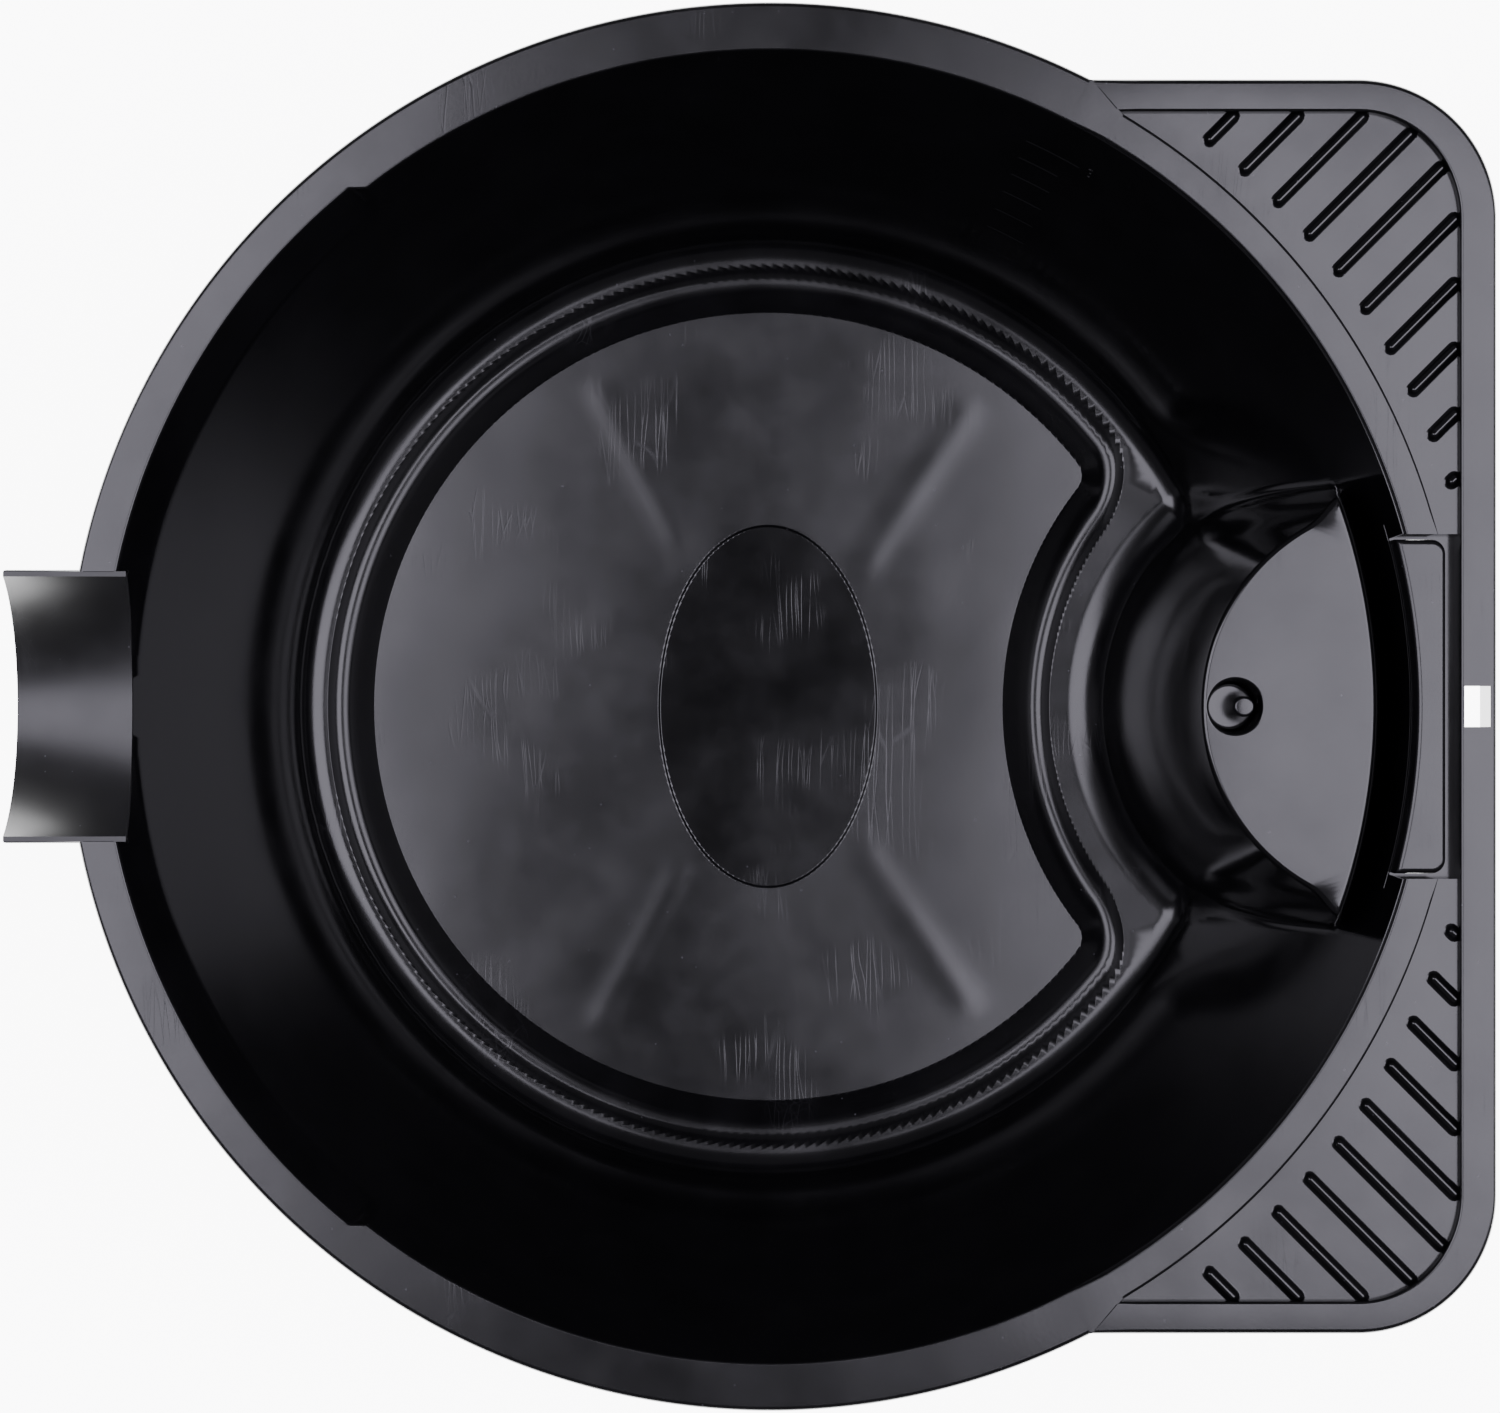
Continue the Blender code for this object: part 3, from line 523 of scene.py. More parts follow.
def black_plastic(name, gloss, wear, grain, warp, tone=0.0026):
    """Moulded black plastic: mean roughness, strength of its marks, fine grain, slow warp and body tone."""
    made = bpy.data.materials.new(name)
    made.use_nodes = True
    tree = made.node_tree
    shader = tree.nodes["Principled BSDF"]
    shader.inputs["IOR"].default_value = 1.5
    place = node(tree, "ShaderNodeTexCoord").outputs["Object"]
    broad = noise(tree, place, 11.0, 3.0)
    fine = noise(tree, place, 900.0, 2.0)
    cloudy = noise(tree, place, 55.0, 5.0)
    lines = maths(tree, "MAXIMUM", scratches(tree, place, 0.35, 210.0, 0.016),
                  maths(tree, "MAXIMUM", scratches(tree, place, 1.9, 170.0, 0.014),
                        scratches(tree, place, -0.6, 150.0, 0.012)))
    dust = specks(tree, place, 240.0, 0.085)
    marks = maths(tree, "MULTIPLY", lines, wear)
    rough = maths(tree, "ADD", ramp(tree, broad, 0.3, 0.7, gloss - 0.035, gloss + 0.035),
                  ramp(tree, cloudy, 0.35, 0.7, -0.02, 0.03 * (0.5 + wear)))
    rough = maths(tree, "ADD", rough, maths(tree, "MULTIPLY", marks, 0.12))
    tree.links.new(rough, shader.inputs["Roughness"])
    pale = maths(tree, "ADD", maths(tree, "MULTIPLY", marks, 0.02),
                 maths(tree, "MULTIPLY", dust, 0.1 * wear))
    level = maths(tree, "ADD", ramp(tree, cloudy, 0.3, 0.75, tone * 0.8, tone * (1.2 + wear)), pale)
    colour = node(tree, "ShaderNodeCombineColor")
    for index, gain in enumerate((1.0, 0.98, 1.12)):
        tree.links.new(maths(tree, "MULTIPLY", level, gain), colour.inputs[index])
    tree.links.new(colour.outputs["Color"], shader.inputs["Base Color"])
    height = maths(tree, "ADD", maths(tree, "MULTIPLY", fine, grain), maths(tree, "MULTIPLY", broad, 0.9))
    height = maths(tree, "SUBTRACT", height, maths(tree, "MULTIPLY", marks, 0.3))
    height = maths(tree, "ADD", height, maths(tree, "MULTIPLY", noise(tree, place, 21.0, 1.5, 0.4), warp))
    bump = node(tree, "ShaderNodeBump")
    bump.inputs["Strength"].default_value = 0.35
    bump.inputs["Distance"].default_value = 0.00025
    tree.links.new(height, bump.inputs["Height"])
    tree.links.new(bump.outputs["Normal"], shader.inputs["Normal"])
    return made


LOOKS = {
    "wall": black_plastic("wall_plastic", 0.14, 0.12, 0.02, 2.0),
    "frame": black_plastic("frame_plastic", 0.21, 0.35, 0.07, 3.0),
    "floor": black_plastic("floor_plastic", 0.2, 0.4, 0.05, 4.0, 0.003),
    "oval": black_plastic("oval_plastic", 0.13, 0.35, 0.03, 2.0),
    "gutter": black_plastic("gutter_plastic", 0.21, 0.5, 0.07, 3.0, 0.003),
    "gusset": black_plastic("gusset_plastic", 0.2, 0.3, 0.07, 5.0),
    "pad": black_plastic("pad_plastic", 0.24, 0.45, 0.1, 4.0, 0.0035),
    "spout": black_plastic("spout_plastic", 0.33, 0.7, 0.08, 6.0, 0.003),
}


# ---------------------------------------------------------------- making pieces

def place_piece(name, mesh, look, nodes):
    """Move a mesh from plan millimetres to the frame and tie it to its CAD nodes."""
    mesh.transform(Matrix.Diagonal((MM, MM, MM, 1.0)))
    mesh.transform(Matrix.Translation((AXIS_X * MM, 0.0, 0.0)))
    mesh.materials.append(LOOKS[look])
    item = bpy.data.objects.new(name, mesh)
    bpy.context.scene.collection.objects.link(item)
    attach(item, "root")
    if nodes:
        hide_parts(*nodes)
    return item


def skin_piece(name, points, tris, thick, look, flat_base=False):
    """Closed shell under part of the skin, shaded by the skin's own normals."""
    used, index = np.unique(tris, return_inverse=True)
    tris = index.reshape(tris.shape)
    top = points[used]
    normals = skin_normals(top)
    under = top - normals * thick
    if flat_base:
        under = np.column_stack([top[:, 0], top[:, 1], np.maximum(top[:, 2] - thick, 0.0)])
    count = len(top)
    faces = [tuple(t) for t in tris] + [tuple(t[::-1] + count) for t in tris]
    sides = {}
    for a, b, c in tris:
        for edge in ((a, b), (b, c), (c, a)):
            sides[edge] = True
    rim = [edge for edge in sides if (edge[1], edge[0]) not in sides]
    faces += [(b, a, a + count, b + count) for a, b in rim]
    mesh = bpy.data.meshes.new(name)
    mesh.from_pydata(np.concatenate([top, under]).tolist(), [], [tuple(int(i) for i in f) for f in faces])
    mesh.update()
    mesh.shade_smooth()
    loops = np.empty(len(mesh.loops), int)
    mesh.loops.foreach_get("vertex_index", loops)
    every = np.concatenate([normals, -normals])[loops]
    for polygon in mesh.polygons[2 * len(tris):]:
        every[polygon.loop_start:polygon.loop_start + polygon.loop_total] = polygon.normal
    mesh.normals_split_custom_set(every.tolist())
    return place_piece(name, mesh, look, [name])


def finish_mesh(bm, name, look, nodes, sharp=40.0):
    """Turn a bmesh into a piece whose flats stay flat beside its rounded edges."""
    bmesh.ops.recalc_face_normals(bm, faces=bm.faces)
    mesh = bpy.data.meshes.new(name)
    bm.to_mesh(mesh)
    bm.free()
    mesh.shade_smooth()
    mesh.set_sharp_from_angle(angle=math.radians(sharp))
    item = place_piece(name, mesh, look, nodes)
    weighted = item.modifiers.new("flats", "WEIGHTED_NORMAL")
    weighted.keep_sharp = True
    return item


def sweep(sections):
    """Closed sections in order along an open path, capped."""
    bm = bmesh.new()
    rows = [[bm.verts.new(p) for p in section] for section in sections]
    count = len(rows[0])
    for row, after in zip(rows, rows[1:]):
        for step in range(count):
            onward = (step + 1) % count
            bm.faces.new((row[step], row[onward], after[onward], after[step]))
    bm.faces.new(rows[0])
    bm.faces.new(rows[-1])
    return bm


def rounded(section, radii, steps=4):
    """Corners of a plane section replaced by arcs; a radius of 0 keeps the corner."""
    result = []
    count = len(section)
    for index, radius in enumerate(radii):
        here = np.array(section[index], float)
        if radius <= 0.0:
            result.append(tuple(here))
            continue
        before = np.array(section[index - 1], float) - here
        after = np.array(section[(index + 1) % count], float) - here
        before /= np.linalg.norm(before)
        after /= np.linalg.norm(after)
        half = 0.5 * math.acos(float(np.clip(before @ after, -1.0, 1.0)))
        reach = radius / math.tan(half)
        middle = before + after
        centre = here + middle / np.linalg.norm(middle) * radius / math.sin(half)
        a, b = here + before * reach - centre, here + after * reach - centre
        swing = math.acos(float(np.clip(a @ b / radius ** 2, -1.0, 1.0)))
        for step in range(steps + 1):
            share = step / steps
            result.append(tuple(centre + (a * math.sin((1 - share) * swing) + b * math.sin(share * swing))
                                / math.sin(swing)))
    return result


def inset(outline, amount):
    """Closed counter-clockwise outline moved inwards."""
    plan = np.array(outline)
    before = plan - np.roll(plan, 1, axis=0)
    after = np.roll(plan, -1, axis=0) - plan
    before /= np.linalg.norm(before, axis=1, keepdims=True)
    after /= np.linalg.norm(after, axis=1, keepdims=True)
    left = np.stack([-(before + after)[:, 1], (before + after)[:, 0]], axis=-1)
    left /= np.maximum((left ** 2).sum(axis=1, keepdims=True), 0.8) / 2.0
    return plan + left * amount


def anticlockwise(outline):
    plan = np.array(outline)
    x, y = plan[:, 0], plan[:, 1]
    area = (x * np.roll(y, -1) - np.roll(x, -1) * y).sum()
    return plan if area > 0.0 else plan[::-1]


def pillow(outline, base, profile):
    """Plate with a shaped edge: profile lists (inset, height) from the foot of the edge to the top."""
    plan = anticlockwise(outline)
    return sweep([[(x, y, base) for x, y in inset(plan, profile[0][0])]]
                 + [[(x, y, z) for x, y in inset(plan, amount)] for amount, z in profile])


def round_edge(top, radius, steps=4):
    """Profile of a quarter round at the top of a plate."""
    return [(radius * (1.0 - math.cos(0.5 * math.pi * k / steps)),
             top - radius + radius * math.sin(0.5 * math.pi * k / steps)) for k in range(steps + 1)]


# ---------------------------------------------------------------- basin, cup

SKINS = {
    "floor_medallion": ("oval", "scuffed_plastic", True), "floor_panel": ("floor", "scuffed_plastic", True),
    "foot_channel": ("gutter", "scuffed_plastic", True), "basin_wall": ("wall", "moulded_plastic", False),
    "filter_tower": ("wall", "moulded_plastic", False), "filter_shelf": ("pad", "moulded_plastic", True),
}


def build_basin():
    points, tris, kinds = split_basin()
    for name, (look, slot, flat) in SKINS.items():
        thick = TOWER_SKIN if name == "filter_tower" else SKIN
        skin_piece(name, points, tris[kinds == name], thick, look, flat)


def turned(profile, x, sides=72):
    """Surface of revolution about an upright axis on the middle line; the profile closes on the axis."""
    bm = bmesh.new()
    rows = []
    for radius, z in profile:
        rows.append([bm.verts.new((x + radius * math.cos(2.0 * math.pi * k / sides),
                                   radius * math.sin(2.0 * math.pi * k / sides), z)) for k in range(sides)])
    for row, after in zip(rows, rows[1:]):
        for k in range(sides):
            onward = (k + 1) % sides
            bm.faces.new((row[k], row[onward], after[onward], after[k]))
    bm.faces.new(rows[0])
    bm.faces.new(rows[-1])
    return bm


CUP_BASE = 1.2          # thickness of the cup's floor
CUP_SIDE = 0.4
CUP_LIP = 0.7
PEG_EDGE = 0.8


def build_cup():
    """Cup sunk in the shelf and the peg on its floor."""
    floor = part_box("drain_cup")[0].z / MM + CUP_BASE
    outer = 0.5 * (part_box("drain_cup")[1].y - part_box("drain_cup")[0].y) / MM
    inner = outer - CUP_SIDE
    lip = []
    for k in range(6):
        turn = 0.5 * math.pi * k / 5
        lip.append((CUP_R - CUP_LIP * math.sin(turn), SHELF_Z - CUP_LIP + CUP_LIP * math.cos(turn)))
    shell = [(0.4, floor - CUP_BASE), (outer - 0.6, floor - CUP_BASE), (outer - 0.2, floor),
             (outer, SHELF_Z - 3.0), (CUP_R, SHELF_Z - 1.0)]
    hollow = [(inner, SHELF_Z - 4.0), (inner - 0.3, floor + 1.5), (inner - 0.9, floor + 0.3),
              (inner - 1.8, floor), (0.4, floor)]
    finish_mesh(turned(shell + lip + hollow, CUP_X), "drain_cup", "wall", ["drain_cup"])
    low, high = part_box("drain_peg")
    x = 0.5 * (low.x + high.x) / MM - AXIS_X
    radius = 0.5 * (high.y - low.y) / MM
    top = high.z / MM
    crown = [(radius, floor - 0.2), (radius, top - PEG_EDGE)]
    crown += [(radius - amount, z) for amount, z in round_edge(top, PEG_EDGE)]
    finish_mesh(turned(crown + [(0.3, top)], x), "drain_peg", "pad", ["drain_peg"])


# ---------------------------------------------------------------- rim

BAND_OUTER_R = 193.2
BAND_INNER_R = 185.4
SKIRT_DEPTH = 18.0
SKIRT_T = 1.6
GUSSET_SINK = 3.0
JUNCTION_START = 59.4   # degrees from the handle, where the arm runs into the band
JUNCTION_RUN = 3.5
JUNCTION_END = 62.9
JUNCTION_ROUND_END = 59.2


def rim_section(degrees):
    """Inner radius, outer radius, outer rounding of the band at an angle from the handle."""
    flare = float(np.clip((degrees - FLARE_ANGLE + 0.6) / 1.2, 0.0, 1.0))
    inner = RIM_INNER_R + FLARE * flare
    if degrees < JUNCTION_END:
        blend = float(np.clip((degrees - JUNCTION_START) / JUNCTION_RUN, 0.0, 1.0))
        edge = 0.9 if degrees < JUNCTION_ROUND_END else 0.12
        return RIM_INNER_R + 0.6 * (1.0 - blend), BAND_OUTER_R + (RIM_OUTER_R - BAND_OUTER_R) * blend, edge
    return inner, RIM_OUTER_R, 1.5


def build_rim(side, name):
    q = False
    start = math.degrees(math.asin(BAND_END_Y / BAND_INNER_R))
    end = 180.0 - math.degrees(math.asin(SPOUT_SIDE_Y / (RIM_INNER_R + FLARE)))
    stops = np.unique(np.concatenate([np.linspace(start, end, 60 if q else 240), [59.1, 59.3, 62.8, 63.0],
                                      FLARE_ANGLE + np.array([-0.6, -0.3, 0.0, 0.3, 0.6])]))
    sections = []
    for degrees in stops:
        inner, outer, edge = rim_section(degrees)
        end_round = min(1.0, 0.25 + (degrees - start) / 1.2)
        shape = [(inner - 0.25, RIM_Z - SKIN), (inner - 0.25, RIM_Z), (outer, RIM_Z), (outer, RIM_Z - SKIN)]
        shape = rounded(shape, [0.0, EDGE, edge * end_round, 0.0])
        c, s = math.cos(math.radians(degrees)), side * math.sin(math.radians(degrees))
        sections.append([(radius * c, radius * s, z) for radius, z in shape])
    for index, across, way in ((0, BAND_END_Y, 1.0), (-1, SPOUT_SIDE_Y - 1.2, -1.0)):
        sections[index] = [(way * math.sqrt(x * x + y * y - across ** 2), side * across, z)
                           for x, y, z in sections[index]]
    title = "rim_flange_" + name
    finish_mesh(sweep(sections), title, "frame", [title])
    last = 180.0 - math.degrees(math.asin((SPOUT_SIDE_Y + 0.3) / RIM_OUTER_R))
    low, high = RIM_Z - SKIRT_DEPTH, RIM_Z - SKIN
    shape = rounded([(RIM_OUTER_R - SKIRT_T, low), (RIM_OUTER_R - SKIRT_T, high), (RIM_OUTER_R, high),
                     (RIM_OUTER_R, low)], [0.5, 0.0, 0.0, 0.5])
    sections = []
    for degrees in np.linspace(63.0, last, 48 if q else 180):
        c, s = math.cos(math.radians(degrees)), side * math.sin(math.radians(degrees))
        sections.append([(radius * c, radius * s, z) for radius, z in shape])
    title = "rim_skirt_" + name
    finish_mesh(sweep(sections), title, "wall", [title])


# ---------------------------------------------------------------- handle

ARM_W = 9.1
BAR_W = 10.3
CORNER_R = 39.0
LIP = 1.0
LIP_DEPTH = 10.5
BAR_SPLIT_Y = 100.0
SLOT_HALF_Y = 5.7
RIB_COUNT = 10
RIB_HALF_W = 1.4
RIB_PITCH = 18.2
RIB_FIRST = -35.6
RIB_START_R = 201.4
RIB_PROFILE = ((-0.8, 0.02), (-0.45, 0.12), (-0.15, 0.4), (0.1, 0.8), (0.35, 1.2), (0.6, 1.5), (0.85, 1.7),
               (1.1, 1.82), (1.32, 1.88))
TUCK = 0.2              # how far a plate runs in under its neighbour
PAD_INNER_R = 181.2
PAD_X = 189.3
PAD_HALF_Y = 46.8
PAD_CORNER_R = 4.0
PAD_EDGE = 1.6
WEB_TUCK = 3.0


def border_section(outer, inner):
    """Raised border between an outer and an inner plan point: a channel open underneath, with round edges."""
    width = float(np.linalg.norm(np.array(inner) - np.array(outer)))
    shape = [(0.0, SKIRT_DEPTH), (0.0, 0.0), (width, 0.0), (width, LIP_DEPTH), (width - LIP, LIP_DEPTH),
             (width - LIP, SKIN), (SKIRT_T, SKIN), (SKIRT_T, SKIRT_DEPTH)]
    shape = rounded(shape, [0.5, 1.5, 0.9, 0.4, 0.0, 0.0, 0.0, 0.5])
    way = (np.array(inner) - np.array(outer)) / width
    return [(outer[0] + way[0] * run, outer[1] + way[1] * run, RIM_Z - depth) for run, depth in shape]


def border_corner(in_x, in_y, count=44):
    """Quarter turn of the border, set in from its outer edge by its own amounts along X and Y."""
    turn = np.linspace(0.5 * math.pi, 0.0, count)
    return np.stack([BAR_X - CORNER_R + (CORNER_R - in_x) * np.cos(turn),
                     ARM_Y - CORNER_R + (CORNER_R - in_y) * np.sin(turn)], axis=-1)


def build_arm(side, name):
    inner_y = ARM_Y - ARM_W
    x_out = math.sqrt(RIM_OUTER_R ** 2 - ARM_Y ** 2) - 0.1
    x_in = math.sqrt(BAND_OUTER_R ** 2 - inner_y ** 2) - 0.1
    pairs = [((x_out, ARM_Y), (x_in, inner_y)), ((x_out + 12.0, ARM_Y), (x_in + 5.0, inner_y))]
    pairs += [((x, ARM_Y), (x, inner_y)) for x in (115.0, 135.0, 155.0)]
    pairs += list(zip(map(tuple, border_corner(0.0, 0.0)), map(tuple, border_corner(BAR_W, ARM_W))))
    pairs += [((BAR_X, y), (BAR_X - BAR_W, y)) for y in (130.0, 115.0, BAR_SPLIT_Y)]
    sections = [[(x, side * y, z) for x, y, z in border_section(a, b)] for a, b in pairs]
    title = "handle_arm_" + name
    finish_mesh(sweep(sections), title, "frame", [title])


def cut_slot(item, left, right):
    """Cut the hanging slot, with its ends square as on the moulding."""
    cutter = pillow([(left, -SLOT_HALF_Y), (right, -SLOT_HALF_Y), (right, SLOT_HALF_Y), (left, SLOT_HALF_Y)],
                    RIM_Z - 5.0, [(0.0, RIM_Z + 3.0)])
    bmesh.ops.recalc_face_normals(cutter, faces=cutter.faces)
    mesh = bpy.data.meshes.new("slot_cutter")
    cutter.to_mesh(mesh)
    cutter.free()
    mesh.transform(Matrix.Diagonal((MM, MM, MM, 1.0)))
    mesh.transform(Matrix.Translation((AXIS_X * MM, 0.0, 0.0)))
    tool = bpy.data.objects.new("slot_cutter", mesh)
    bpy.context.scene.collection.objects.link(tool)
    boolean = item.modifiers.new("slot", "BOOLEAN")
    boolean.operation = "DIFFERENCE"
    boolean.solver = "EXACT"
    boolean.object = tool
    evaluated = item.evaluated_get(bpy.context.evaluated_depsgraph_get())
    done = bpy.data.meshes.new_from_object(evaluated)
    item.modifiers.clear()
    item.data = done
    bpy.data.objects.remove(tool, do_unlink=True)


def build_bar():
    ys = np.linspace(BAR_SPLIT_Y, -BAR_SPLIT_Y, 5)
    sections = [border_section((BAR_X, y), (BAR_X - BAR_W, y)) for y in ys]
    bar = finish_mesh(sweep(sections), "handle_bar", "frame", ["handle_bar"])
    cut_slot(bar, BAR_X - BAR_W + LIP + 0.15, BAR_X - SKIRT_T - 0.3)


def rib_line(offset, edge_x, edge_y, corner):
    """Ends of a rib on the line x - y = offset: near the rim, and at the border's inner edge."""
    half = 0.5 * offset
    reach = math.sqrt(0.5 * RIB_START_R ** 2 - half ** 2)
    start = np.array([reach + half, reach - half])
    meet = np.array([min(edge_x, edge_y + offset), min(edge_y, edge_x - offset)])
    turn = np.array([edge_x - corner, edge_y - corner])
    if meet[0] > turn[0] and meet[1] > turn[1]:
        across = 0.5 * (offset - (turn[0] - turn[1]))
        reach = math.sqrt(corner ** 2 - 2.0 * across ** 2) / math.sqrt(2.0)
        meet = turn + np.array([reach + across, reach - across])
    return start, meet


def stadium(start, end, half, steps=8):
    way = (end - start) / np.linalg.norm(end - start)
    heading = math.atan2(way[1], way[0])
    quarter, spacing = 0.5 * math.pi, half * math.pi / steps
    nose = arc(start[0], start[1], half, heading + quarter, heading + 3.0 * quarter, spacing)
    tail = arc(end[0], end[1], half, heading - quarter, heading + quarter, spacing)
    return np.concatenate([nose, tail])


def build_gusset(side, name):
    edge_x, edge_y, corner = BAR_X - BAR_W + TUCK, ARM_Y - ARM_W + TUCK, CORNER_R - BAR_W + TUCK
    radius = BAND_OUTER_R - TUCK
    top = RIM_Z - GUSSET_SINK
    tip, foot = math.asin(edge_y / radius), math.asin((BAND_END_Y + 0.1) / radius)
    outline = np.concatenate([arc(0.0, 0.0, radius, foot, tip, 2.0),
                              border_corner(BAR_W - TUCK, ARM_W - TUCK),
                              [(edge_x, BAND_END_Y + 0.1)]])
    plate = pillow(outline * np.array([1.0, side]), RIM_Z - PAD_DEPTH - 1.0, [(0.0, top)])
    title = "gusset_panel_" + name
    finish_mesh(plate, title, "gusset", [title])
    for index in range(RIB_COUNT):
        start, end = rib_line(RIB_FIRST + RIB_PITCH * index, edge_x - TUCK, edge_y - TUCK, corner - TUCK)
        outline = stadium(start, end - np.array([1.2, 1.2]), RIB_HALF_W) * np.array([1.0, side])
        rib = pillow(outline, top - TUCK, [(amount, top + rise) for amount, rise in RIB_PROFILE])
        title = "gusset_rib_%s_%02d" % (name, index + 1)
        finish_mesh(rib, title, "gusset", [title], 60.0)


def build_pad():
    half, corner = PAD_HALF_Y, PAD_CORNER_R
    reach = math.asin(half / PAD_INNER_R)
    outline = np.concatenate([arc(0.0, 0.0, PAD_INNER_R, reach, -reach, 1.6),
                              arc(PAD_X - corner, corner - half, corner, -0.5 * math.pi, 0.0, 0.6),
                              arc(PAD_X - corner, half - corner, corner, 0.0, 0.5 * math.pi, 0.6)])
    pad = pillow(outline, RIM_Z - PAD_DEPTH, round_edge(RIM_Z, PAD_EDGE))
    finish_mesh(pad, "grip_pad", "pad", ["grip_pad"])


def build_web():
    """Web that closes the groove round the pad, tucked in under the gussets at both ends."""
    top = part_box("grip_web")[1].z / MM
    radius = float(wall_radius(top)) - 0.1
    half = BAND_END_Y + WEB_TUCK
    reach = math.asin(half / radius)
    edge_x = BAR_X - BAR_W + TUCK
    outline = np.concatenate([arc(0.0, 0.0, radius, reach, -reach, 3.0), [(edge_x, -half), (edge_x, half)]])
    web = pillow(outline, top - SKIN, [(0.0, top)])
    finish_mesh(web, "grip_web", "wall", ["grip_web"])


# ---------------------------------------------------------------- spout

SPOUT_SKIN = 2.1
SPOUT_LIP_R = 1.05
SPOUT_GUESS_X = -165.0  # the root of the trough is searched from here


def build_spout():
    stations, steps = ((22, 60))
    bm = bmesh.new()
    upper, lower = [], []
    for station in range(stations + 1):
        share = station / stations
        row, below = [], []
        for step in range(steps + 1):
            y = SPOUT_HALF * math.cos(math.pi * step / steps)
            x = SPOUT_GUESS_X
            for _ in range(6):
                x = -math.sqrt(float(wall_radius(spout_floor(x, y))) ** 2 - y * y)
            x = x + (SPOUT_TIP_X - x) * share
            z = float(spout_floor(x, y))
            row.append(Vector((x, y, z)))
        for side in (1.0, -1.0):
            rim_x = row[0].x if side > 0 else row[-1].x
            rim = []
            for a in np.linspace(0.5 * math.pi, 0.0, 4):
                rim_y = side * (SPOUT_HALF + 0.4 + SPOUT_LIP_R * (1 - math.cos(a)))
                rim.append(Vector((rim_x, rim_y, RIM_Z - SPOUT_LIP_R + SPOUT_LIP_R * math.sin(a))))
            rim.append(Vector((rim_x, side * (SPOUT_SIDE_Y - 0.5), RIM_Z - 4.0)))
            row = rim[::-1] + row if side > 0 else row + rim
        for index, point in enumerate(row):
            before, after = row[max(index - 1, 0)], row[min(index + 1, len(row) - 1)]
            slope = math.atan2(after.z - before.z, before.y - after.y)
            out = point - Vector((0.0, math.sin(slope), math.cos(slope))) * SPOUT_SKIN
            if abs(point.y) > SPOUT_HALF + 0.2:
                out = Vector((point.x, math.copysign(SPOUT_SIDE_Y - 0.9, point.y), RIM_Z - 5.0))
            out.y = max(-SPOUT_SIDE_Y, min(SPOUT_SIDE_Y, out.y))
            below.append(out)
        upper.append([bm.verts.new(p) for p in row])
        lower.append([bm.verts.new(p) for p in below])
    for grid in (upper, lower):
        for row, after in zip(grid, grid[1:]):
            for k in range(len(row) - 1):
                bm.faces.new((row[k], row[k + 1], after[k + 1], after[k]))
    for a, b in ((upper[0], lower[0]), (upper[-1], lower[-1])):
        for k in range(len(a) - 1):
            bm.faces.new((a[k], a[k + 1], b[k + 1], b[k]))
    for k in range(stations):
        for column in (0, -1):
            bm.faces.new((upper[k][column], upper[k + 1][column],
                          lower[k + 1][column], lower[k][column]))
    finish_mesh(bm, "pour_spout", "spout", ["pour_spout"])


# ---------------------------------------------------------------- litre scale

SCALE_HEIGHTS = (115.8, 104.3, 92.6, 80.0, 67.1, 54.0, 39.7)
SCALE_START = 65.6
SCALE_LENGTH = 12.5
SCALE_TOP_LENGTH = 17.0
SCALE_PROUD = 0.3
SCALE_HALF = 0.45
NUMERAL_SIZE = 7.5
NUMERAL_DROP = 2.4
NUMERAL_SPACE = 1.4


def build_scale():
    """Raised level lines on the wall, one for each litre from 8 at the top."""
    half = SCALE_HALF
    profile = ((-half, -0.2), (-0.6 * half, SCALE_PROUD), (0.6 * half, SCALE_PROUD), (half, -0.2))
    for index, height in enumerate(SCALE_HEIGHTS):
        length = SCALE_TOP_LENGTH if index == 0 else SCALE_LENGTH
        turns = np.radians(SCALE_START) - np.linspace(0.0, length / float(wall_radius(height)), 8)
        sections = []
        for turn in turns:
            section = []
            for rise, proud in profile:
                reach = float(wall_radius(height + rise)) - proud
                section.append((reach * math.cos(turn), reach * math.sin(turn), height + rise))
            sections.append(section)
        finish_mesh(sweep(sections), "level_mark_%d" % (8 - index), "wall", [], 60.0)


def build_numeral():
    """Numeral beside the top line, upright on the wall."""
    words = bpy.data.curves.new("numeral", "FONT")
    words.body = "8"
    words.size = NUMERAL_SIZE
    words.extrude = 0.2
    words.resolution_u = 4
    made = bpy.data.objects.new("numeral", words)
    mesh = bpy.data.meshes.new_from_object(made)
    bpy.data.objects.remove(made, do_unlink=True)
    height = SCALE_HEIGHTS[0] - NUMERAL_DROP
    radius = float(wall_radius(height))
    turn = math.radians(SCALE_START) - (SCALE_TOP_LENGTH + NUMERAL_SPACE) / radius
    out = Vector((math.cos(turn), math.sin(turn), 0.0))
    along = Vector((out.y, -out.x, 0.0))
    up = Vector((out.x * WALL_DRAFT, out.y * WALL_DRAFT, 1.0)).normalized()
    face = along.cross(up)
    basis = Matrix((along, up, face)).transposed().to_4x4()
    mesh.transform(Matrix.Translation(out * radius + Vector((0.0, 0.0, height))) @ basis)
    mesh.shade_smooth()
    mesh.set_sharp_from_angle(angle=math.radians(40.0))
    place_piece("level_numeral", mesh, "wall", [])


# ---------------------------------------------------------------- studio

FLOOR_HALF = 4.0        # metres, like every length below
FLOOR_GLOW = 9.0
WORLD_STRENGTH = 0.12
LAMP_SIZE = (1.1, 1.7)
LAMP_Z = 1.7
LAMP_AIM_Z = 0.1
LAMP_COLOUR = (0.897, 0.869, 1.0)
SOFTBOXES = (("softbox_left", -0.98, 0.12, 33.0), ("softbox_right", 0.95, 0.0, 35.0))
LENS = 94.3
CAMERA_RISE = 1.1


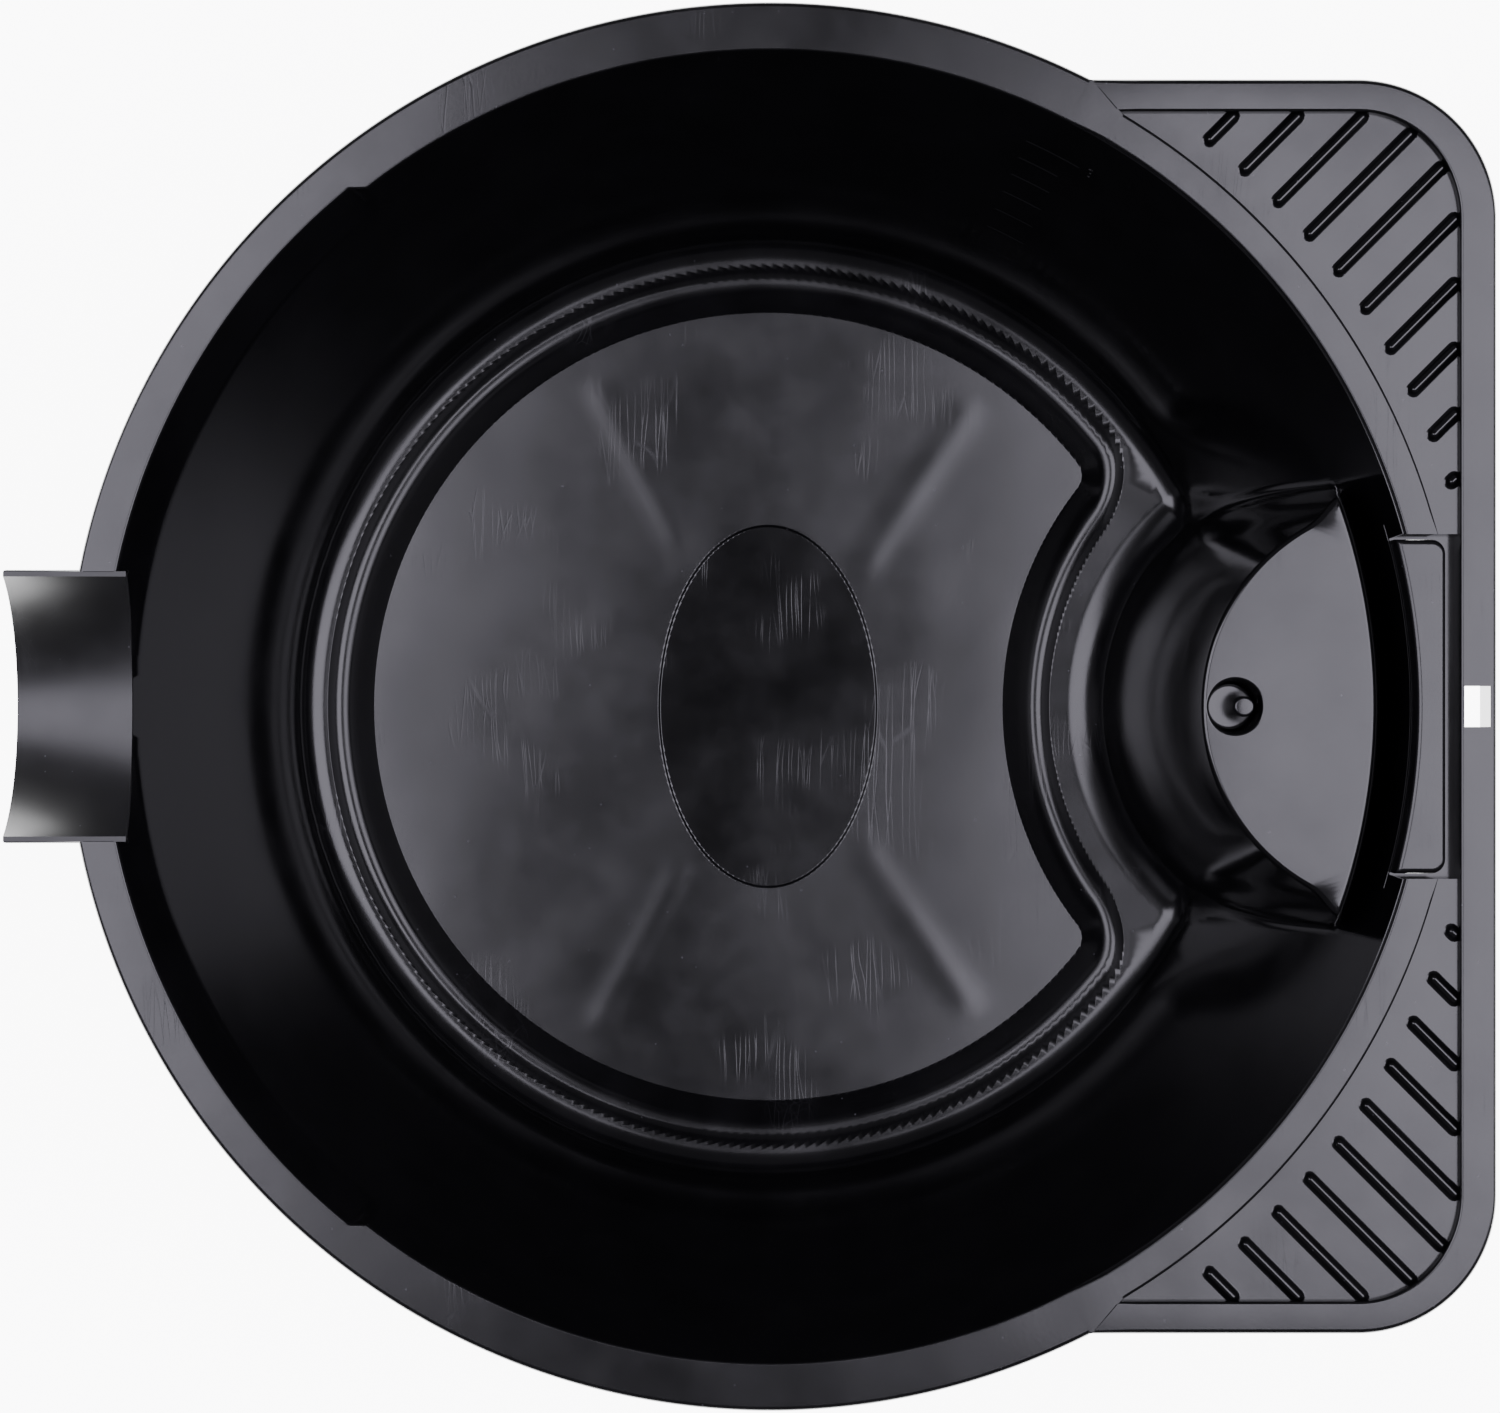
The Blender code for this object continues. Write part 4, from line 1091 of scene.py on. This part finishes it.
def build_floor():
    """Plain pale floor."""
    mesh = bpy.data.meshes.new("studio_floor")
    half = FLOOR_HALF
    corners = [(-half, -half, 0), (half, -half, 0), (half, half, 0), (-half, half, 0)]
    mesh.from_pydata(corners, [], [(0, 1, 2, 3)])
    pale = bpy.data.materials.new("pale_floor")
    pale.use_nodes = True
    tree = pale.node_tree
    shader = tree.nodes["Principled BSDF"]
    shader.inputs["Roughness"].default_value = 0.9
    shader.inputs["Emission Color"].default_value = (1.0, 1.0, 1.0, 1.0)
    shader.inputs["Emission Strength"].default_value = FLOOR_GLOW
    place = node(tree, "ShaderNodeTexCoord").outputs["Object"]
    shade = ramp(tree, noise(tree, place, 3.0, 2.0), 0.3, 0.7, 0.94, 0.97)
    colour = node(tree, "ShaderNodeCombineColor")
    for index in range(3):
        tree.links.new(shade, colour.inputs[index])
    tree.links.new(colour.outputs["Color"], shader.inputs["Base Color"])
    mesh.materials.append(pale)
    floor = bpy.data.objects.new("studio_floor", mesh)
    bpy.context.scene.collection.objects.link(floor)


def build_world():
    world = bpy.data.worlds.new("studio_world")
    bpy.context.scene.world = world
    world.use_nodes = True
    background = world.node_tree.nodes["Background"]
    background.inputs["Color"].default_value = (0.93, 0.91, 1.0, 1.0)
    background.inputs["Strength"].default_value = WORLD_STRENGTH


def build_lamps():
    """Large soft lamp on each side, turned to the pan."""
    for title, x, y, power in SOFTBOXES:
        lamp = bpy.data.lights.new(title, "AREA")
        lamp.shape = "RECTANGLE"
        lamp.size, lamp.size_y = LAMP_SIZE
        lamp.energy = power
        lamp.color = LAMP_COLOUR
        item = bpy.data.objects.new(title, lamp)
        bpy.context.scene.collection.objects.link(item)
        item.location = (x, y, LAMP_Z)
        aim = Vector((0.0, 0.0, LAMP_AIM_Z)) - Vector(item.location)
        item.rotation_euler = aim.to_track_quat("-Z", "Y").to_euler()


def build_camera():
    """Camera straight above the pan."""
    lens = bpy.data.cameras.new("overhead_camera")
    lens.sensor_width = 36.0
    lens.lens = LENS
    lens.clip_end = 50.0
    camera = bpy.data.objects.new("overhead_camera", lens)
    bpy.context.scene.collection.objects.link(camera)
    camera.location = (0.0, 0.0, RIM_Z * MM + CAMERA_RISE)
    bpy.context.scene.camera = camera


build_basin()
build_cup()
for hand, title in ((1.0, "left"), (-1.0, "right")):
    build_rim(hand, title)
    build_arm(hand, title)
    build_gusset(hand, title)
build_bar()
build_pad()
build_web()
build_spout()
build_scale()
build_numeral()
build_floor()
build_world()
build_lamps()
build_camera()
